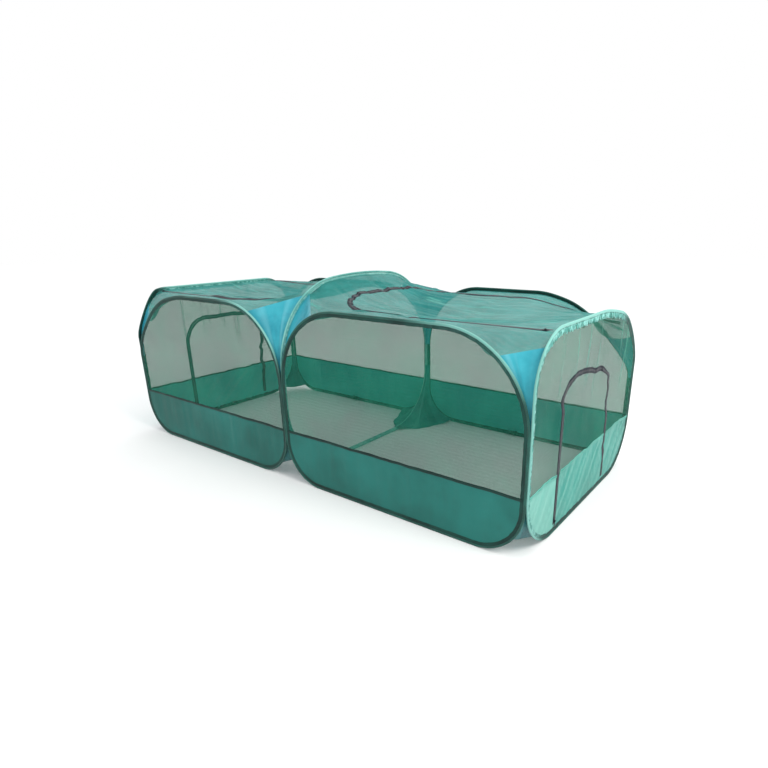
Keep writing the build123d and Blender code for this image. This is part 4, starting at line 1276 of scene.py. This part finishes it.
PEG_Z = 2 * BEAD_R + SEAM_GAP + 0.008
PEG_WIDTH, PEG_THICKNESS = 0.0155, 0.0018
TIE_CORD = 0.0019
TIE_OFFSET = 0.150
UP = (0, 0, 1)
loop_path = rounded_box(0.042, 0.020, 0.006) + (0, 0.001)
for name, (sx, sy) in LONG_WALLS.items():
    middle, lean = sx * LONG_CENTRE, 0.0015 * sx
    path = [(middle + x, sy * (HALF_WIDTH - FLANGE_HALF - y), PEG_Z + lean * x / 0.02)
            for x, y in loop_path]
    piece = band_loop(f"peg_loop_{name}", path, UP, PEG_WIDTH, PEG_THICKNESS, "webbing")
    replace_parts(piece, "peg_loops_long_walls")
for name, (side, _) in ENDS.items():
    path = [(side * (CELL_LENGTH - FLANGE_HALF - y), x, PEG_Z) for x, y in loop_path]
    piece = band_loop(f"peg_loop_{name}", path, UP, PEG_WIDTH, PEG_THICKNESS, "webbing")
    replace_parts(piece, "peg_loops_end_walls")

tie_top = WALL_HEIGHT - BINDING_WIDTH - SEAM_GAP
tie_path = rounded_box(0.012, 0.010, 0.004)
for name, (side, _) in ENDS.items():
    x = side * (CELL_LENGTH - CLOTH / 2 - SEAM_GAP - 0.001)
    for k, offset in enumerate((-TIE_OFFSET, TIE_OFFSET)):
        path = [(x, offset + a, tie_top - 0.001 - b) for a, b in tie_path]
        piece = band_loop(f"tie_loop_{name}_{k}", path, (1, 0, 0), TIE_CORD, TIE_CORD, "tie_cord")
        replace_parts(piece, "tie_loops")


# ---- carried-over metal ----
for node, obj in nodes.items():
    if obj.hide_render:
        continue
    obj.data.materials.clear()
    obj.data.materials.append(ZINC if "slider" in node or "pull" in node else WIRE)

# ---- floor, light, camera ----
bpy.ops.mesh.primitive_plane_add(size=40, location=(0, 0, -0.0005))
floor = bpy.context.object
floor.name = "floor"
ground = Nodes("floor paper")
paper = ground.blotches("fbfbfb", "fdfdfd", 1.2, detail=2.0, rough=0.5)
floor.data.materials.append(ground.finish(ground.surface(paper, 0.95, None, specular=0.0)))


def backdrop(n, tint, strength):
    made = n.node("Background")
    made.inputs[0].default_value = (*tint, 1)
    made.inputs[1].default_value = strength
    return made


studio = Nodes("studio", world=True)
ray = studio.node("LightPath").outputs
seen = studio.math("MAXIMUM", ray["Is Camera Ray"], ray["Is Glossy Ray"])
sky = backdrop(studio, (0.98, 0.99, 1.0), 1.05)
bpy.context.scene.world = studio.finish(studio.blend(seen, sky, backdrop(studio, (1, 1, 1), 1.0)))


def lamp(name, place, aim, size, power, tint):
    """Round soft lamp at a place, turned to what it lights."""
    data = bpy.data.lights.new(name, "AREA")
    data.shape = "DISK"
    data.size = size
    data.energy = power
    data.color = tint
    made = bpy.data.objects.new(name, data)
    bpy.context.scene.collection.objects.link(made)
    made.location = place
    made.rotation_euler = (Vector(aim) - Vector(place)).to_track_quat("-Z", "Y").to_euler()


lamp("key", (3.6, -0.6, 3.4), (0.2, 0, 0.3), 1.6, 95, (1.0, 0.98, 0.94))
lamp("fill", (-2.2, -3.6, 2.6), (0, 0, 0.3), 2.6, 6, (0.94, 0.98, 1.0))
lamp("back", (-1.0, 3.2, 3.0), (0, 0, 0.4), 2.4, 16, (0.97, 0.99, 1.0))

# Camera: its place, where it looks as degrees round from +Y and down, its roll, lens and shift.
CAMERA_PLACE = (1.7055, -1.8934, 0.9982)
AZIMUTH, ELEVATION, ROLL = (math.radians(angle) for angle in (36.581, 19.762, -0.528))
camera_data = bpy.data.cameras.new("camera")
camera_data.lens = 25.57
camera_data.sensor_width = 36.0
camera_data.shift_x, camera_data.shift_y = -0.0427, 0.0543
camera_data.clip_start = 0.05
camera = bpy.data.objects.new("camera", camera_data)
bpy.context.scene.collection.objects.link(camera)
bpy.context.scene.camera = camera
level_way = Vector((-math.sin(AZIMUTH), math.cos(AZIMUTH), 0)) * math.cos(ELEVATION)
forward = level_way - Vector((0, 0, math.sin(ELEVATION)))
turn = forward.to_track_quat("-Z", "Y").to_matrix().to_4x4() @ Matrix.Rotation(ROLL, 4, "Z")
camera.matrix_world = Matrix.Translation(CAMERA_PLACE) @ turn

bpy.context.scene.view_settings.view_transform = "Standard"
